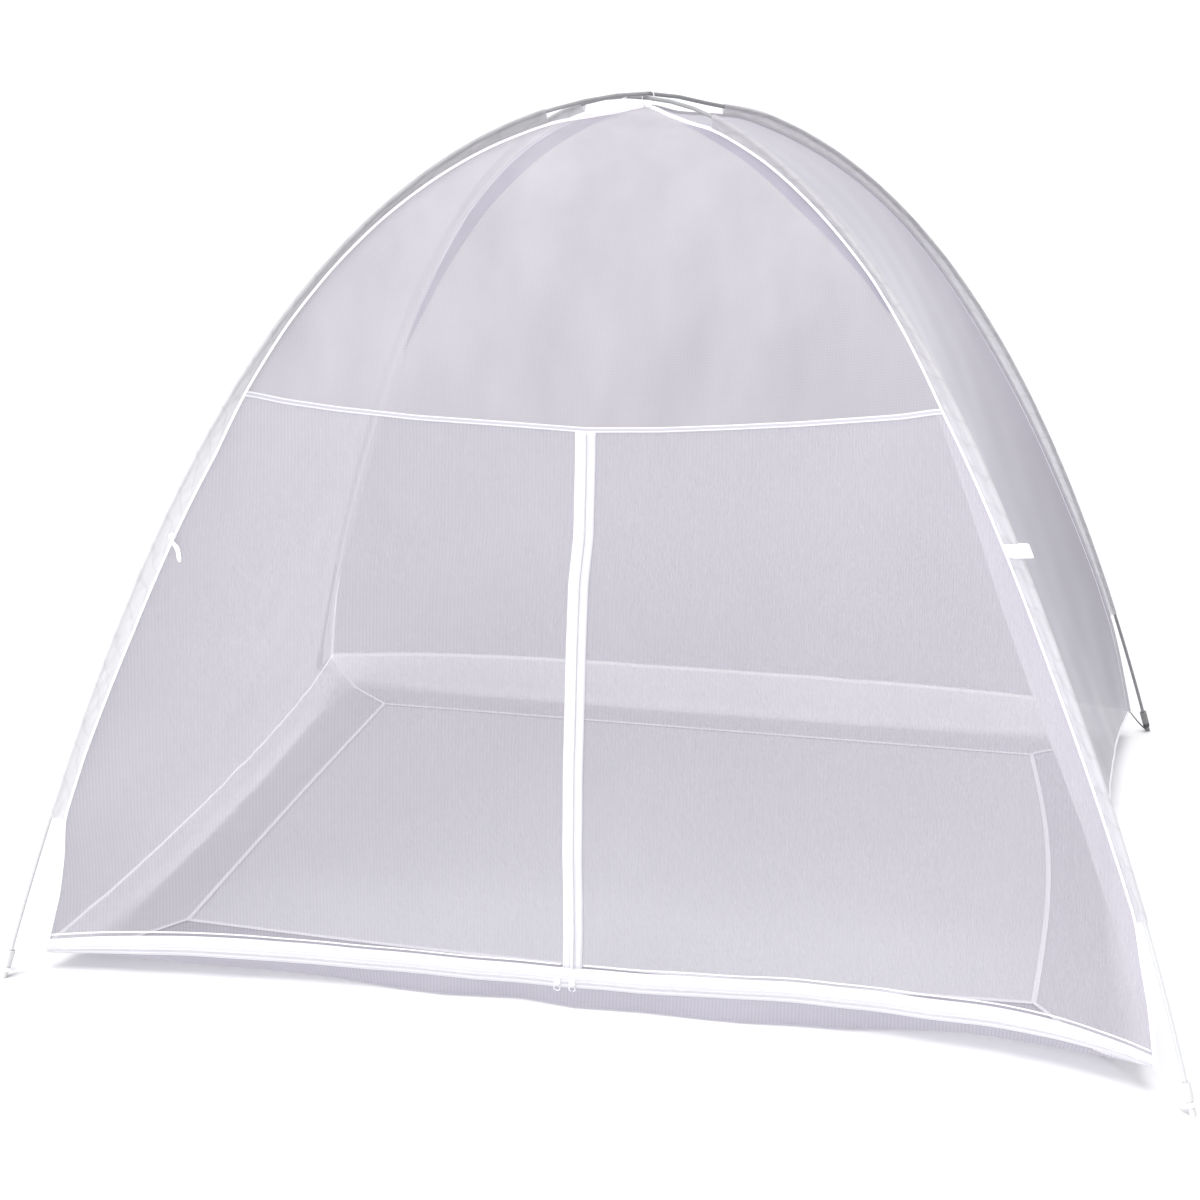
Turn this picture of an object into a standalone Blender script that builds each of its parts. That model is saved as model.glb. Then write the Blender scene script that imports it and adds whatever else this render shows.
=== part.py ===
"""Mosquito net canopy, free-standing, in white polyester and glass fibre.

Two sprung poles run from corner to corner and cross over the middle.  The net
hangs from them in four folded sleeves and from a ribbon tied at the crossing.
Metres, +Z up, the zipped front faces -Y, the feet and the flange rest on z = 0.
"""
import math

import bmesh
import bpy
import numpy as np
from mathutils import Vector

# Overall sizes
FOOT_X = 1.000          # feet, half their spacing along the length
FOOT_Y = 0.765          # feet, half their spacing across
CROSSING = 1.4515       # height at which the poles would cross unpulled
PEAK_DROP = 0.018       # the net's peak hangs this far under the crossing

# Stock
POLE_R = 0.0035
SHEET = 0.001           # net and woven tapes
GAP = 0.0003
INSET = 0.0012          # a panel's edge to the seam line

# Sprung shape of a pole: its slope grows fast near the crossing, then slowly
BEND = 1.0877           # radians gained over the fast part
BEND_SPAN = 0.646
BEND_RATE = 0.0918      # radians per metre over the whole pole
LEG_ARC = 2.0305        # length of one leg, crossing to floor
DIP = 0.0045            # how far the tie pulls the poles down at the crossing
DIP_SPAN = 0.45         # how far along a leg this reaches
SINK_SPAN = 0.25        # how far along a leg it sinks beside the crossing

# Pole to seam: the open stretch at the top, the sleeve's fin, and the net's
# own edge below the sleeve
# distance along the leg, front left, front right, back right, back left
FIN = (
    (0.000, PEAK_DROP, PEAK_DROP, PEAK_DROP, PEAK_DROP),
    (0.060, 0.028, 0.028, 0.027, 0.028),
    (0.120, 0.029, 0.029, 0.020, 0.028),
    (0.180, 0.024, 0.022, 0.015, 0.020),
    (0.250, 0.023, 0.020, 0.019, 0.020),
    (0.330, 0.020, 0.017, 0.019, 0.019),
    (0.520, 0.014, 0.014, 0.017, 0.017),
    (0.630, 0.013, 0.013, 0.017, 0.017),
    (0.750, 0.014, 0.018, 0.020, 0.020),
    (0.885, 0.020, 0.026, 0.023, 0.023),
    (1.000, 0.029, 0.025, 0.024, 0.024),
    (1.360, 0.029, 0.022, 0.021, 0.021),
    (1.600, 0.024, 0.019, 0.016, 0.016),
    (1.725, 0.026, 0.017, 0.017, 0.017),
    (1.790, 0.043, 0.028, 0.021, 0.021),
    (1.860, 0.055, 0.035, 0.027, 0.029),
    (1.960, 0.060, 0.052, 0.036, 0.046),
)
CROSS_SPAN = 0.15       # one pole lies over the other for this far along a leg

# Places along a leg where poles, sleeves and panels all have a row
TOP_ROWS = (0.008, 0.06, 0.12, 0.153)
ROWS = (0.18, 0.25, 0.33, 0.42, 0.52, 0.63, 0.75, 0.885,
        1.00, 1.12, 1.24, 1.36, 1.48, 1.60, 1.725)
LOW_ROWS = (1.79, 1.86, 1.90)
HEM_ROW = 1.960         # bottom edge of the net
TAPE_ROW = 0.885        # horizontal tape across the front

# leg: side along X, side along Y, column in the fin table, how far its rows
# have slid down half way, how far it bulges outward over the whole leg, at the
# shoulder, and close to the crossing, how far it sinks beside the crossing
LEGS = {
    "front_left": (-1, -1, 1, 0.030, 0.020, 0.009, 0.000, 0.000),
    "front_right": (1, -1, 2, -0.012, -0.012, 0.002, -0.003, 0.000),
    "back_right": (1, 1, 3, 0.000, -0.006, 0.003, 0.000, 0.0075),
    "back_left": (-1, 1, 4, 0.000, 0.008, 0.002, 0.000, 0.000),
}
# leg: where its sleeve begins and ends, down the leg
SLEEVES = {
    "front_left": (0.194, 1.725),
    "front_right": (0.175, 1.725),
    "back_right": (0.153, 1.704),
    "back_left": (0.184, 1.704),
}

# wall: first leg, last leg, inward direction, depth of its hollow, depth at
# the hem, how much deeper the hem is past the middle, lift of the hem half
# way, how flat the hollow is across
WALLS = {
    "left": ("back_left", "front_left", (1, 0), 0.110, 0.055, 0.0, 0.020, 2.5),
    "front": ("front_left", "front_right", (0, 1), 0.075, 0.070, 0.040, -0.010, 3.5),
    "right": ("front_right", "back_right", (-1, 0), 0.110, 0.052, 0.0, 0.025, 2.5),
    "back": ("back_right", "back_left", (0, -1), 0.100, 0.052, 0.0, 0.052, 3.5),
}
SLIP = 0.065            # how far the front's rows sag down its middle
# The hollow of a wall by distance along the leg, as a share of its depth
HOLLOW = ((0.0, 0.0), (0.5, 0.2), (0.92, 0.53), (1.09, 0.73), (1.31, 0.91),
          (1.53, 1.0), (1.70, 0.93), (1.86, 0.72))
# The zipped hem hangs this much lower at its left corner
CORNER_DROP = 0.016
BAND = 0.043            # height of the zip band along that hem
BAND_TUCK = 0.024       # how much of it is tucked in at the corners
# The front by place across from its left: share of its rows' slip, and lift of
# its hem
FRONT = (
    (0.00, 0.00, 0.000), (0.06, 0.42, 0.001), (0.14, 0.62, 0.004),
    (0.26, 0.79, 0.001), (0.40, 0.89, -0.002), (0.50, 1.00, -0.003),
    (0.60, 0.94, -0.002), (0.70, 0.80, 0.007), (0.80, 0.62, 0.005),
    (0.88, 0.42, 0.009), (0.94, 0.26, 0.007), (1.00, 0.00, 0.000),
)

WHITE = (0.80, 0.80, 0.84)
BRIGHT = (0.88, 0.88, 0.91)
GREY = (0.70, 0.71, 0.73)


def build_arch():
    """Distance along a leg, reach from the middle and height."""
    arc = np.linspace(0.0, LEG_ARC, 1600)
    slope = BEND * (1.0 - np.exp(-arc / BEND_SPAN)) + BEND_RATE * arc
    middle = 0.5 * (slope[1:] + slope[:-1])
    step = arc[1] - arc[0]
    reach = np.concatenate(([0.0], np.cumsum(np.cos(middle)) * step))
    fall = np.concatenate(([0.0], np.cumsum(np.sin(middle)) * step))
    reach *= math.hypot(FOOT_X, FOOT_Y) / reach[-1]
    fall *= CROSSING / fall[-1]
    return arc, reach, CROSSING - fall, slope


ARC, REACH, HEIGHT, SLOPE = build_arch()


def lookup(table, value, column=1):
    """Straight-line value from one column of a table."""
    return float(np.interp(value, [row[0] for row in table],
                           [row[column] for row in table]))


def smooth(value, low, high):
    """Smooth step from 0 at low to 1 at high."""
    share = min(1.0, max(0.0, (value - low) / (high - low)))
    return share * share * (3.0 - 2.0 * share)


def leg_flat(leg, row):
    """Reach and height of a leg's centre line."""
    slide, whole, shoulder, top, sink = LEGS[leg][3:]
    lowered = DIP * (1.0 - smooth(row, 0.0, DIP_SPAN))
    lowered += sink * math.sin(math.pi * min(row / SINK_SPAN, 1.0)) ** 2
    row += slide * math.sin(math.pi * min(row / ROWS[-1], 1.0)) ** 2
    turn = math.pi * min(row, LEG_ARC) / LEG_ARC
    bulge = whole * math.sin(turn) + shoulder * math.sin(2.0 * turn)
    bulge += top * math.sin(4.0 * turn)
    slope = float(np.interp(row, ARC, SLOPE))
    reach = float(np.interp(row, ARC, REACH)) + bulge * math.sin(slope)
    height = float(np.interp(row, ARC, HEIGHT)) + bulge * math.cos(slope)
    return reach, height - lowered


def leg_axes(leg, row):
    """Point on a leg, direction down it, direction in to the seam, sideways."""
    side_x, side_y = LEGS[leg][:2]
    length = math.hypot(FOOT_X, FOOT_Y)
    out = Vector((side_x * FOOT_X / length, side_y * FOOT_Y / length, 0.0))
    reach, height = leg_flat(leg, row)
    before = leg_flat(leg, max(row - 0.004, 0.0))
    after = leg_flat(leg, min(row + 0.004, LEG_ARC))
    run = math.hypot(after[0] - before[0], after[1] - before[1])
    cosine = (after[0] - before[0]) / run
    sine = (before[1] - after[1]) / run
    point = out * reach + Vector((0.0, 0.0, height))
    down = out * cosine - Vector((0.0, 0.0, sine))
    inward = out * -sine - Vector((0.0, 0.0, cosine))
    return point, down, inward, down.cross(inward)


def fin(leg, row):
    """Distance from a pole's centre in to the seam."""
    return lookup(FIN, row, LEGS[leg][2])


def seam_point(leg, row):
    """Point on the seam line that joins two walls under a leg."""
    point, _, inward, _ = leg_axes(leg, row)
    return point + inward * fin(leg, row)


def wall_flat(wall, across, row):
    """Point on a wall; across runs 0 to 1 from its first leg to its last."""
    first, last, inward, depth, hem_depth, skew, lift, flatness = WALLS[wall]
    bulge = 1.0 - abs(2.0 * across - 1.0) ** flatness
    low = smooth(row, 1.30, HEM_ROW)
    hem_lift = 0.0
    if wall == "front":
        near = smooth(row, 1.80, HEM_ROW - BAND)
        hem_lift = lookup(FRONT, across, 2) * near
        tuck = BAND_TUCK * abs(2.0 * across - 1.0) ** 6 * near
        tuck *= min(1.0, max(0.0, HEM_ROW - row) / BAND)
        tuck += CORNER_DROP * (1.0 - across) ** 8 * smooth(row, 1.86, HEM_ROW)
        row += SLIP * lookup(FRONT, across) * math.sin(math.pi * min(row / HEM_ROW, 1.0))
        row += tuck
    hollow = depth * lookup(HOLLOW + ((HEM_ROW, hem_depth / depth),), row)
    hollow += skew * low * (2.0 * across - 1.0)
    point = seam_point(first, row).lerp(seam_point(last, row), across)
    point += Vector((inward[0], inward[1], 0.0)) * (hollow * bulge)
    point.z += lift * bulge * low + hem_lift
    return point


def wall_point(wall, across, row, out=0.0):
    """Point at a small distance outside a wall."""
    point = wall_flat(wall, across, row)
    if out:
        step = 0.002
        side = wall_flat(wall, across + step, row) - wall_flat(wall, across - step, row)
        down = wall_flat(wall, across, row + step) - wall_flat(wall, across, row - step)
        point += down.cross(side).normalized() * out
    return point


def wall_axes(wall, across, row):
    """Directions along, down and out of a wall at one place."""
    here = wall_flat(wall, across, row)
    out = (wall_point(wall, across, row, 0.01) - here).normalized()
    down = (wall_flat(wall, across, row + 0.01) - here).normalized()
    along = down.cross(out).normalized()
    return along, out.cross(along), out


def chord(wall, row):
    """Straight distance between a wall's two seams."""
    return (seam_point(WALLS[wall][0], row) - seam_point(WALLS[wall][1], row)).length


# Scene and collections
for item in list(bpy.data.objects):
    bpy.data.objects.remove(item, do_unlink=True)
canopy = bpy.data.collections.new("mosquito_net_canopy")
bpy.context.scene.collection.children.link(canopy)


def add_object(name, data, colour, roughness=0.8):
    """One named object with its own material."""
    material = bpy.data.materials.new(name)
    material.use_nodes = True
    shader = material.node_tree.nodes["Principled BSDF"]
    shader.inputs["Base Color"].default_value = (*colour, 1.0)
    shader.inputs["Roughness"].default_value = roughness
    data.materials.append(material)
    item = bpy.data.objects.new(name, data)
    canopy.objects.link(item)
    return item


def mesh_object(name, mesh_data, colour, roughness=0.8):
    """Turn a bmesh into one named object."""
    data = bpy.data.meshes.new(name)
    bmesh.ops.recalc_face_normals(mesh_data, faces=mesh_data.faces)
    if mesh_data.calc_volume(signed=True) < 0.0:
        bmesh.ops.reverse_faces(mesh_data, faces=mesh_data.faces)
    mesh_data.to_mesh(data)
    mesh_data.free()
    return add_object(name, data, colour, roughness)


def sheet(name, rows, columns, place, thickness, colour):
    """A sheet: a flat grid laid by place(row, column), then given thickness."""
    grid = bmesh.new()
    bmesh.ops.create_grid(
        grid, x_segments=len(columns) - 1, y_segments=len(rows) - 1, size=1.0)
    for vertex in grid.verts:
        column = round((vertex.co.x + 1.0) / 2.0 * (len(columns) - 1))
        row = round((vertex.co.y + 1.0) / 2.0 * (len(rows) - 1))
        vertex.co = place(rows[row], columns[column])
    item = mesh_object(name, grid, colour)
    solid = item.modifiers.new("thickness", "SOLIDIFY")
    solid.thickness = thickness
    solid.offset = 0.0
    return item


def ribbon(name, path, widths, thickness, colour):
    """A flat tape along a path; widths gives the half width at each point."""
    def place(side, index):
        return Vector(path[index]) + Vector(widths[index]) * side
    return sheet(name, (-1.0, 1.0), tuple(range(len(path))), place, thickness, colour)


# Poles: 7 mm glass-fibre rods, sprung between two opposite feet.  One passes
# over the other at the crossing, and each end stands in a foot.
POLE_STOP = 0.0315      # pole end above the floor, along the pole
FOOT_ROW = 1.952


def foot_axis(leg):
    """Foot's point on the floor and the direction up into the pole."""
    base = leg_axes(leg, LEG_ARC)[0]
    base.z = 0.0
    return base, (leg_axes(leg, FOOT_ROW)[0] - base).normalized()


def leg_path(leg, over):
    """Pole points from the crossing down to the foot."""
    points = []
    rows = (0.0, 0.06, 0.12) + SLEEVES[leg] + ROWS + LOW_ROWS + (FOOT_ROW,)
    for row in sorted(set(rows)):
        point = leg_axes(leg, row)[0]
        point.z += over * max(0.0, 1.0 - row / CROSS_SPAN)
        points.append(point)
    base, up = foot_axis(leg)
    return points + [base + up * POLE_STOP]


def add_pole(name, first, last, over):
    """Rod of round section through both legs."""
    points = leg_path(first, over)[::-1] + leg_path(last, over)[1:]
    curve = bpy.data.curves.new(name, "CURVE")
    curve.dimensions = "3D"
    curve.bevel_depth = POLE_R
    curve.bevel_resolution = 2
    curve.use_fill_caps = True
    spline = curve.splines.new("POLY")
    spline.points.add(len(points) - 1)
    for target, point in zip(spline.points, points):
        target.co = (*point, 1.0)
    return add_object(name, curve, GREY, 0.35)


OVER = POLE_R + GAP
add_pole("pole_front_left_to_back_right", "front_left", "back_right", OVER)
add_pole("pole_front_right_to_back_left", "front_right", "back_left", -OVER)

# Feet: moulded in two steps, a wide barrel that grips the pole and a narrow
# tip that stands on the floor.
# radius, distance up the foot
FOOT_PROFILE = (
    (0.0000, -0.004), (0.0052, -0.004), (0.0052, 0.0225), (0.0072, 0.0240),
    (0.0072, 0.0520), (0.0041, 0.0520), (0.0041, 0.0310), (0.0000, 0.0310),
)


def add_foot(leg):
    """Turned foot, leaning with its pole and cut flat at the floor."""
    base, up = foot_axis(leg)
    turn = Vector((0.0, 0.0, 1.0)).rotation_difference(up).to_matrix()
    foot = bmesh.new()
    ring = [foot.verts.new((radius, 0.0, height)) for radius, height in FOOT_PROFILE]
    edges = [foot.edges.new(pair) for pair in zip(ring, ring[1:])]
    bmesh.ops.spin(foot, geom=ring + edges, cent=(0, 0, 0), axis=(0, 0, 1),
                   angle=2.0 * math.pi, steps=14)
    bmesh.ops.remove_doubles(foot, verts=foot.verts, dist=0.00001)
    for vertex in foot.verts:
        vertex.co = turn @ vertex.co + base
    cut = bmesh.ops.bisect_plane(
        foot, geom=foot.verts[:] + foot.edges[:] + foot.faces[:], dist=0.000001,
        plane_co=(0, 0, 0), plane_no=(0, 0, -1), clear_outer=True)
    rim = [part for part in cut["geom_cut"] if isinstance(part, bmesh.types.BMEdge)]
    bmesh.ops.edgeloop_fill(foot, edges=rim)
    mesh_object("foot_" + leg, foot, GREY, 0.45)


for leg_name in LEGS:
    add_foot(leg_name)

# Corner straps: a 7 mm tape from each corner of the net, looped round the tip
# of the foot just under its barrel.
STRAP_HALF = 0.0035
STRAP_T = 0.0012
STRAP_UP = 0.0165       # middle of the loop, up the foot
STRAP_R = 0.0052 + 0.0005 + STRAP_T / 2.0


def add_strap(leg):
    """Tape from the net's corner to the foot and once round it."""
    base, up = foot_axis(leg)
    corner = seam_point(leg, 1.950)
    corner += (base - corner).normalized() * 0.0030
    away = corner - base
    high = away.dot(up)
    away -= up * high
    reach = away.length
    away.normalize()
    side = up.cross(away)
    path = []
    for share in (0.0, 0.25, 0.5, 0.75):
        sag = 0.004 * math.sin(math.pi * share)
        level = high + (STRAP_UP - high) * min(1.0, share / 0.75)
        path.append(base + away * (reach * (1.0 - share)) + side * (STRAP_R * share)
                    + up * level - Vector((0.0, 0.0, sag)))
    for step in range(15):
        angle = math.radians(90.0 + 21.5 * step)
        path.append(base + up * STRAP_UP
                    + (away * math.cos(angle) + side * math.sin(angle)) * STRAP_R)
    ribbon("corner_strap_" + leg, path, [up * STRAP_HALF] * len(path), STRAP_T, BRIGHT)


for leg_name in LEGS:
    add_strap(leg_name)

# Sleeves: a polyester strip folded round the pole, its two edges brought
# together as a fin and sewn into the seam between two walls.
SLEEVE_IN = 0.0042
SLEEVE_OUT = 0.0052
# angle from the fin, in degrees
SLEEVE_TURNS = (70, 105, 142, 180, 218, 255, 290)


def sleeve_ring(leg, row, radius, fin_end, fin_half):
    """Closed ring of the sleeve's section, outside or inside."""
    point, _, inward, side = leg_axes(leg, row)
    end = fin(leg, row) - fin_end
    ring = [point + inward * end + side * fin_half]
    for turn in SLEEVE_TURNS:
        angle = math.radians(turn)
        ring.append(point + (inward * math.cos(angle) + side * math.sin(angle)) * radius)
    return ring + [point + inward * end - side * fin_half]


def add_sleeve(leg):
    """Hollow tube: two skins joined at the rims."""
    start, end = SLEEVES[leg]
    rows = (start,) + tuple(row for row in ROWS if start < row < end) + (end,)
    sleeve = bmesh.new()
    rings = []
    for skin in ((SLEEVE_OUT, 0.0009, 0.0013), (SLEEVE_IN, 0.0021, 0.0003)):
        rings.append([[sleeve.verts.new(point) for point in sleeve_ring(leg, row, *skin)]
                      for row in rows])
    size = len(SLEEVE_TURNS) + 2
    for skin in rings:
        for upper, lower in zip(skin, skin[1:]):
            for here in range(size):
                there = (here + 1) % size
                sleeve.faces.new((upper[here], upper[there], lower[there], lower[here]))
    for end in (0, -1):
        outer, inner = rings[0][end], rings[1][end]
        for here in range(size):
            there = (here + 1) % size
            sleeve.faces.new((outer[here], outer[there], inner[there], inner[here]))
    mesh_object("sleeve_" + leg, sleeve, BRIGHT)


for leg_name in LEGS:
    add_sleeve(leg_name)

# Left, right and back walls: one triangular panel of fine net each, hollowed
# between the seams by its own tension.
ACROSS = (0.0, 0.04, 0.10, 0.18, 0.30, 0.42, 0.50, 0.58, 0.70, 0.82, 0.90, 0.96, 1.0)
BIND_TOP = HEM_ROW - 0.008


def inset_across(wall, across, row, inset=INSET):
    """Keeps a panel's two edges just off the seam lines."""
    edge = inset / chord(wall, row)
    return edge + (1.0 - 2.0 * edge) * across


def add_wall(wall):
    """Net panel from the peak down to the bottom binding."""
    rows = TOP_ROWS + ROWS + LOW_ROWS + (BIND_TOP - GAP,)

    def place(row, across):
        return wall_point(wall, inset_across(wall, across, row), row)
    sheet("wall_" + wall, rows, ACROSS, place, SHEET, WHITE)


for wall_name in ("left", "right", "back"):
    add_wall(wall_name)

# Front: a dense top panel, and two net doors that meet at the vertical zip.
# Distances across the front count from the zip, -1 and 1 at the seams.
HALF = (0.012, 0.06, 0.16, 0.30, 0.50, 0.70, 0.84, 0.94, 1.0)
# The upright zip strays from the middle of the front: row, offset to the right
ZIP_LINE = ((0.0, 0.0), (0.885, -0.001), (1.09, 0.000), (1.18, -0.007),
            (1.30, -0.0095), (1.52, -0.010), (1.70, -0.0075), (1.92, -0.0055))
ZIP_HALF = 0.0165
COIL_HALF = 0.0025
BAND_TOP = HEM_ROW - BAND
COIL_ROW = HEM_ROW - 0.0135
TAPE_OUT = 0.0015       # woven tapes lie on the outside of the net
COIL_OUT = 0.0031


def zip_across(row):
    """Where the vertical zip crosses a row."""
    return 0.5 + lookup(ZIP_LINE, row) / chord("front", row)


def front_across(share, row):
    """Share from the zip line, -1 to 1, into the front's 0 to 1."""
    middle = zip_across(row)
    edge = INSET / chord("front", row)
    if share < 0.0:
        return middle + (middle - edge) * share
    return middle + (1.0 - edge - middle) * share


def front_place(row, share, out=0.0):
    """Point on the front."""
    return wall_point("front", front_across(share, row), row, out)


def strip_place(row, offset, out):
    """Point on the front at a distance in metres from the zip line."""
    return wall_point("front", zip_across(row) + offset / chord("front", row), row, out)


FULL = tuple(-share for share in reversed(HALF)) + (0.0,) + HALF
ABOVE_TAPE = tuple(row for row in ROWS if row < TAPE_ROW)
BELOW_TAPE = tuple(row for row in ROWS if row > TAPE_ROW) + LOW_ROWS
sheet("front_top_panel", TOP_ROWS + ABOVE_TAPE + (TAPE_ROW - GAP,), FULL,
      front_place, SHEET, BRIGHT)
DOOR_ROWS = (TAPE_ROW + GAP,) + BELOW_TAPE + (BAND_TOP + 0.005,)
sheet("door_left", DOOR_ROWS, tuple(-share for share in reversed(HALF)),
      front_place, SHEET, WHITE)
sheet("door_right", DOOR_ROWS, HALF, front_place, SHEET, WHITE)

# Horizontal tape: 10 mm woven, sewn over the joint of top panel and doors.
TAPE_HALF = 0.005
sheet("front_tape", (TAPE_ROW - TAPE_HALF, TAPE_ROW + TAPE_HALF), FULL,
      lambda row, share: front_place(row, share, TAPE_OUT), SHEET, BRIGHT)

# Zips: 33 mm and 43 mm tapes, each with a raised nylon coil: down the middle of
# the upright one, low on the one along the hem.
ZIP_ROWS = (TAPE_ROW + 0.008,) + BELOW_TAPE + (BAND_TOP - GAP,)
sheet("zip_tape_vertical", ZIP_ROWS, (-ZIP_HALF, -0.005, 0.005, ZIP_HALF),
      lambda row, offset: strip_place(row, offset, TAPE_OUT), SHEET, BRIGHT)
sheet("zip_coil_vertical", ZIP_ROWS, (-COIL_HALF, COIL_HALF),
      lambda row, offset: strip_place(row, offset, COIL_OUT), 0.0016, BRIGHT)
sheet("zip_tape_bottom", (BAND_TOP, COIL_ROW, HEM_ROW), FULL,
      lambda row, share: front_place(row, share, TAPE_OUT), SHEET, BRIGHT)
sheet("zip_coil_bottom", (COIL_ROW - COIL_HALF, COIL_ROW + COIL_HALF), FULL,
      lambda row, share: front_place(row, share, COIL_OUT), 0.0016, BRIGHT)


# Sliders: two small moulded bodies on the bottom zip, each with a ring pull.
SLIDER_SIZE = (0.0110, 0.0110, 0.0030)      # along, down, out
RING_R = 0.0054         # middle of the ring's wire
WIRE_R = 0.0010


def add_slider(name, offset):
    """Bevelled body over the coil and the ring that hangs from it."""
    across = zip_across(COIL_ROW) + offset / chord("front", COIL_ROW)
    along, down, out = wall_axes("front", across, COIL_ROW)
    centre = strip_place(COIL_ROW, offset, 0.0057)
    body = bmesh.new()
    bmesh.ops.create_cube(body, size=1.0)
    bmesh.ops.bevel(body, geom=body.edges[:], offset=0.12, segments=1,
                    profile=0.5, affect="EDGES", material=-1)
    for vertex in body.verts:
        vertex.co *= Vector(SLIDER_SIZE)
        vertex.co = centre + along * vertex.co.x + down * vertex.co.y + out * vertex.co.z
    mesh_object("slider_" + name, body, GREY, 0.4)
    ring = bmesh.new()
    bmesh.ops.create_circle(ring, segments=6, radius=WIRE_R)
    for vertex in ring.verts:
        vertex.co = Vector((vertex.co.x + RING_R, 0.0, vertex.co.y))
    bmesh.ops.spin(ring, geom=ring.verts[:] + ring.edges[:], cent=(0, 0, 0),
                   axis=(0, 0, 1), angle=2.0 * math.pi, steps=14)
    bmesh.ops.remove_doubles(ring, verts=ring.verts, dist=0.00001)
    hang = centre + down * (SLIDER_SIZE[1] / 2.0 + GAP + WIRE_R + RING_R)
    for vertex in ring.verts:
        x, y, z = vertex.co
        vertex.co = hang + along * x + down * y + out * z
    mesh_object("ring_pull_" + name, ring, GREY, 0.4)


add_slider("left", -0.025)
add_slider("right", 0.001)


# Bindings: an 8 mm tape folded over the bottom seam of the other three walls.
BIND_INSET = 0.0020


def add_binding(wall):
    """Straight-sided binding that follows the seam."""
    def place(row, across):
        return wall_point(wall, inset_across(wall, across, row, BIND_INSET), row)
    sheet("binding_" + wall, (BIND_TOP, HEM_ROW), ACROSS, place, 0.0022, BRIGHT)


for wall_name in ("left", "right", "back"):
    add_binding(wall_name)

# Floor flange: four strips of net that drop from the bottom seam, turn inward
# and lie on the floor, mitred at the corners.
# leg: corner of the flange's inner edge
FLANGE_CORNERS = {
    "front_left": (-0.766, -0.507),
    "front_right": (0.757, -0.484),
    "back_right": (0.741, 0.567),
    "back_left": (-0.757, 0.568),
}
# wall: how far the inner edge bows outward half way
FLANGE_BOW = {"left": 0.004, "front": 0.024, "right": 0.030, "back": 0.0}


def flange_point(wall, across, share):
    """Point on a flange; share runs 0 to 1 from the seam to the inner edge."""
    first, last, inward = WALLS[wall][:3]
    out = TAPE_OUT if wall == "front" else 0.0
    start = wall_point(wall, across, HEM_ROW + 0.0009, out)
    first = Vector((*FLANGE_CORNERS[first], SHEET / 2.0))
    last = Vector((*FLANGE_CORNERS[last], SHEET / 2.0))
    edge = INSET / (last - first).length
    inner = first.lerp(last, edge + (1.0 - 2.0 * edge) * across)
    inner -= Vector((*inward, 0.0)) * (FLANGE_BOW[wall] * math.sin(math.pi * across))
    # near the corners the cloth is drawn tight and comes in before it lands
    tight = abs(2.0 * across - 1.0) ** 4
    floor = Vector((start.x, start.y, SHEET / 2.0))
    heel = floor.lerp(inner, 0.02 + 0.40 * tight)
    turn = floor.lerp(inner, 0.35 + 0.45 * tight)
    if share >= 0.4:
        return turn.lerp(inner, (share - 0.4) / 0.6)
    bend = share / 0.4
    return start * (1.0 - bend) ** 2 + heel * (2.0 * bend * (1.0 - bend)) + turn * bend ** 2


for wall_name in WALLS:
    columns = tuple(inset_across(wall_name, across, HEM_ROW) for across in ACROSS)
    if wall_name == "front":
        columns = tuple(front_across(share, HEM_ROW) for share in FULL)
    sheet("flange_" + wall_name, (0.0, 0.1, 0.2, 0.3, 0.4, 1.0), columns,
          lambda share, across, name=wall_name: flange_point(name, across, share),
          SHEET, WHITE)

# Crossing tie: one ribbon sewn to the peak, brought up both sides of the
# poles and knotted on top, its ends left as one short and one long tail.
# left to right, height over the pulled crossing
TIE_PATH = (
    (-0.0030, 0.0215), (-0.0034, 0.0160), (-0.0026, 0.0115), (0.0000, 0.0086),
    (0.0050, 0.0084), (0.0088, 0.0062), (0.0105, 0.0000), (0.0100, -0.0080),
    (0.0078, -0.0145), (0.0045, -0.0190), (-0.0045, -0.0190), (-0.0078, -0.0145),
    (-0.0100, -0.0080), (-0.0105, 0.0000), (-0.0108, 0.0060), (-0.0150, 0.0082),
    (-0.0240, 0.0050), (-0.0360, -0.0010), (-0.0500, -0.0070), (-0.0610, -0.0130),
)
ribbon("crossing_tie", [(x, 0.0, CROSSING - DIP + z) for x, z in TIE_PATH],
       [(0.0, 0.0025, 0.0)] * len(TIE_PATH), SHEET, BRIGHT)

# Door ties: on the left a ribbon knotted over the sleeve's fin, its tail lying
# on the door, on the right a tab wrapped over the sleeve.
KNOT_ROW = 1.166
# row down the leg, distance in from the seam, distance out of the cloth
TAIL_PATH = ((1.173, -0.0030, 0.0034), (1.179, 0.0040, 0.0036), (1.187, 0.0120, 0.0030),
             (1.196, 0.0180, 0.0022), (1.205, 0.0225, 0.0018), (1.214, 0.0280, 0.0016))


def beside_seam(row, inward_by, out_by):
    """Point by the front left seam: on the door, or outside it on the fin."""
    if inward_by >= 0.0:
        return wall_point("front", inward_by / chord("front", row), row, out_by)
    point, _, inward, side = leg_axes("front_left", row)
    return point + inward * (fin("front_left", row) + inward_by) + side * out_by


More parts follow.
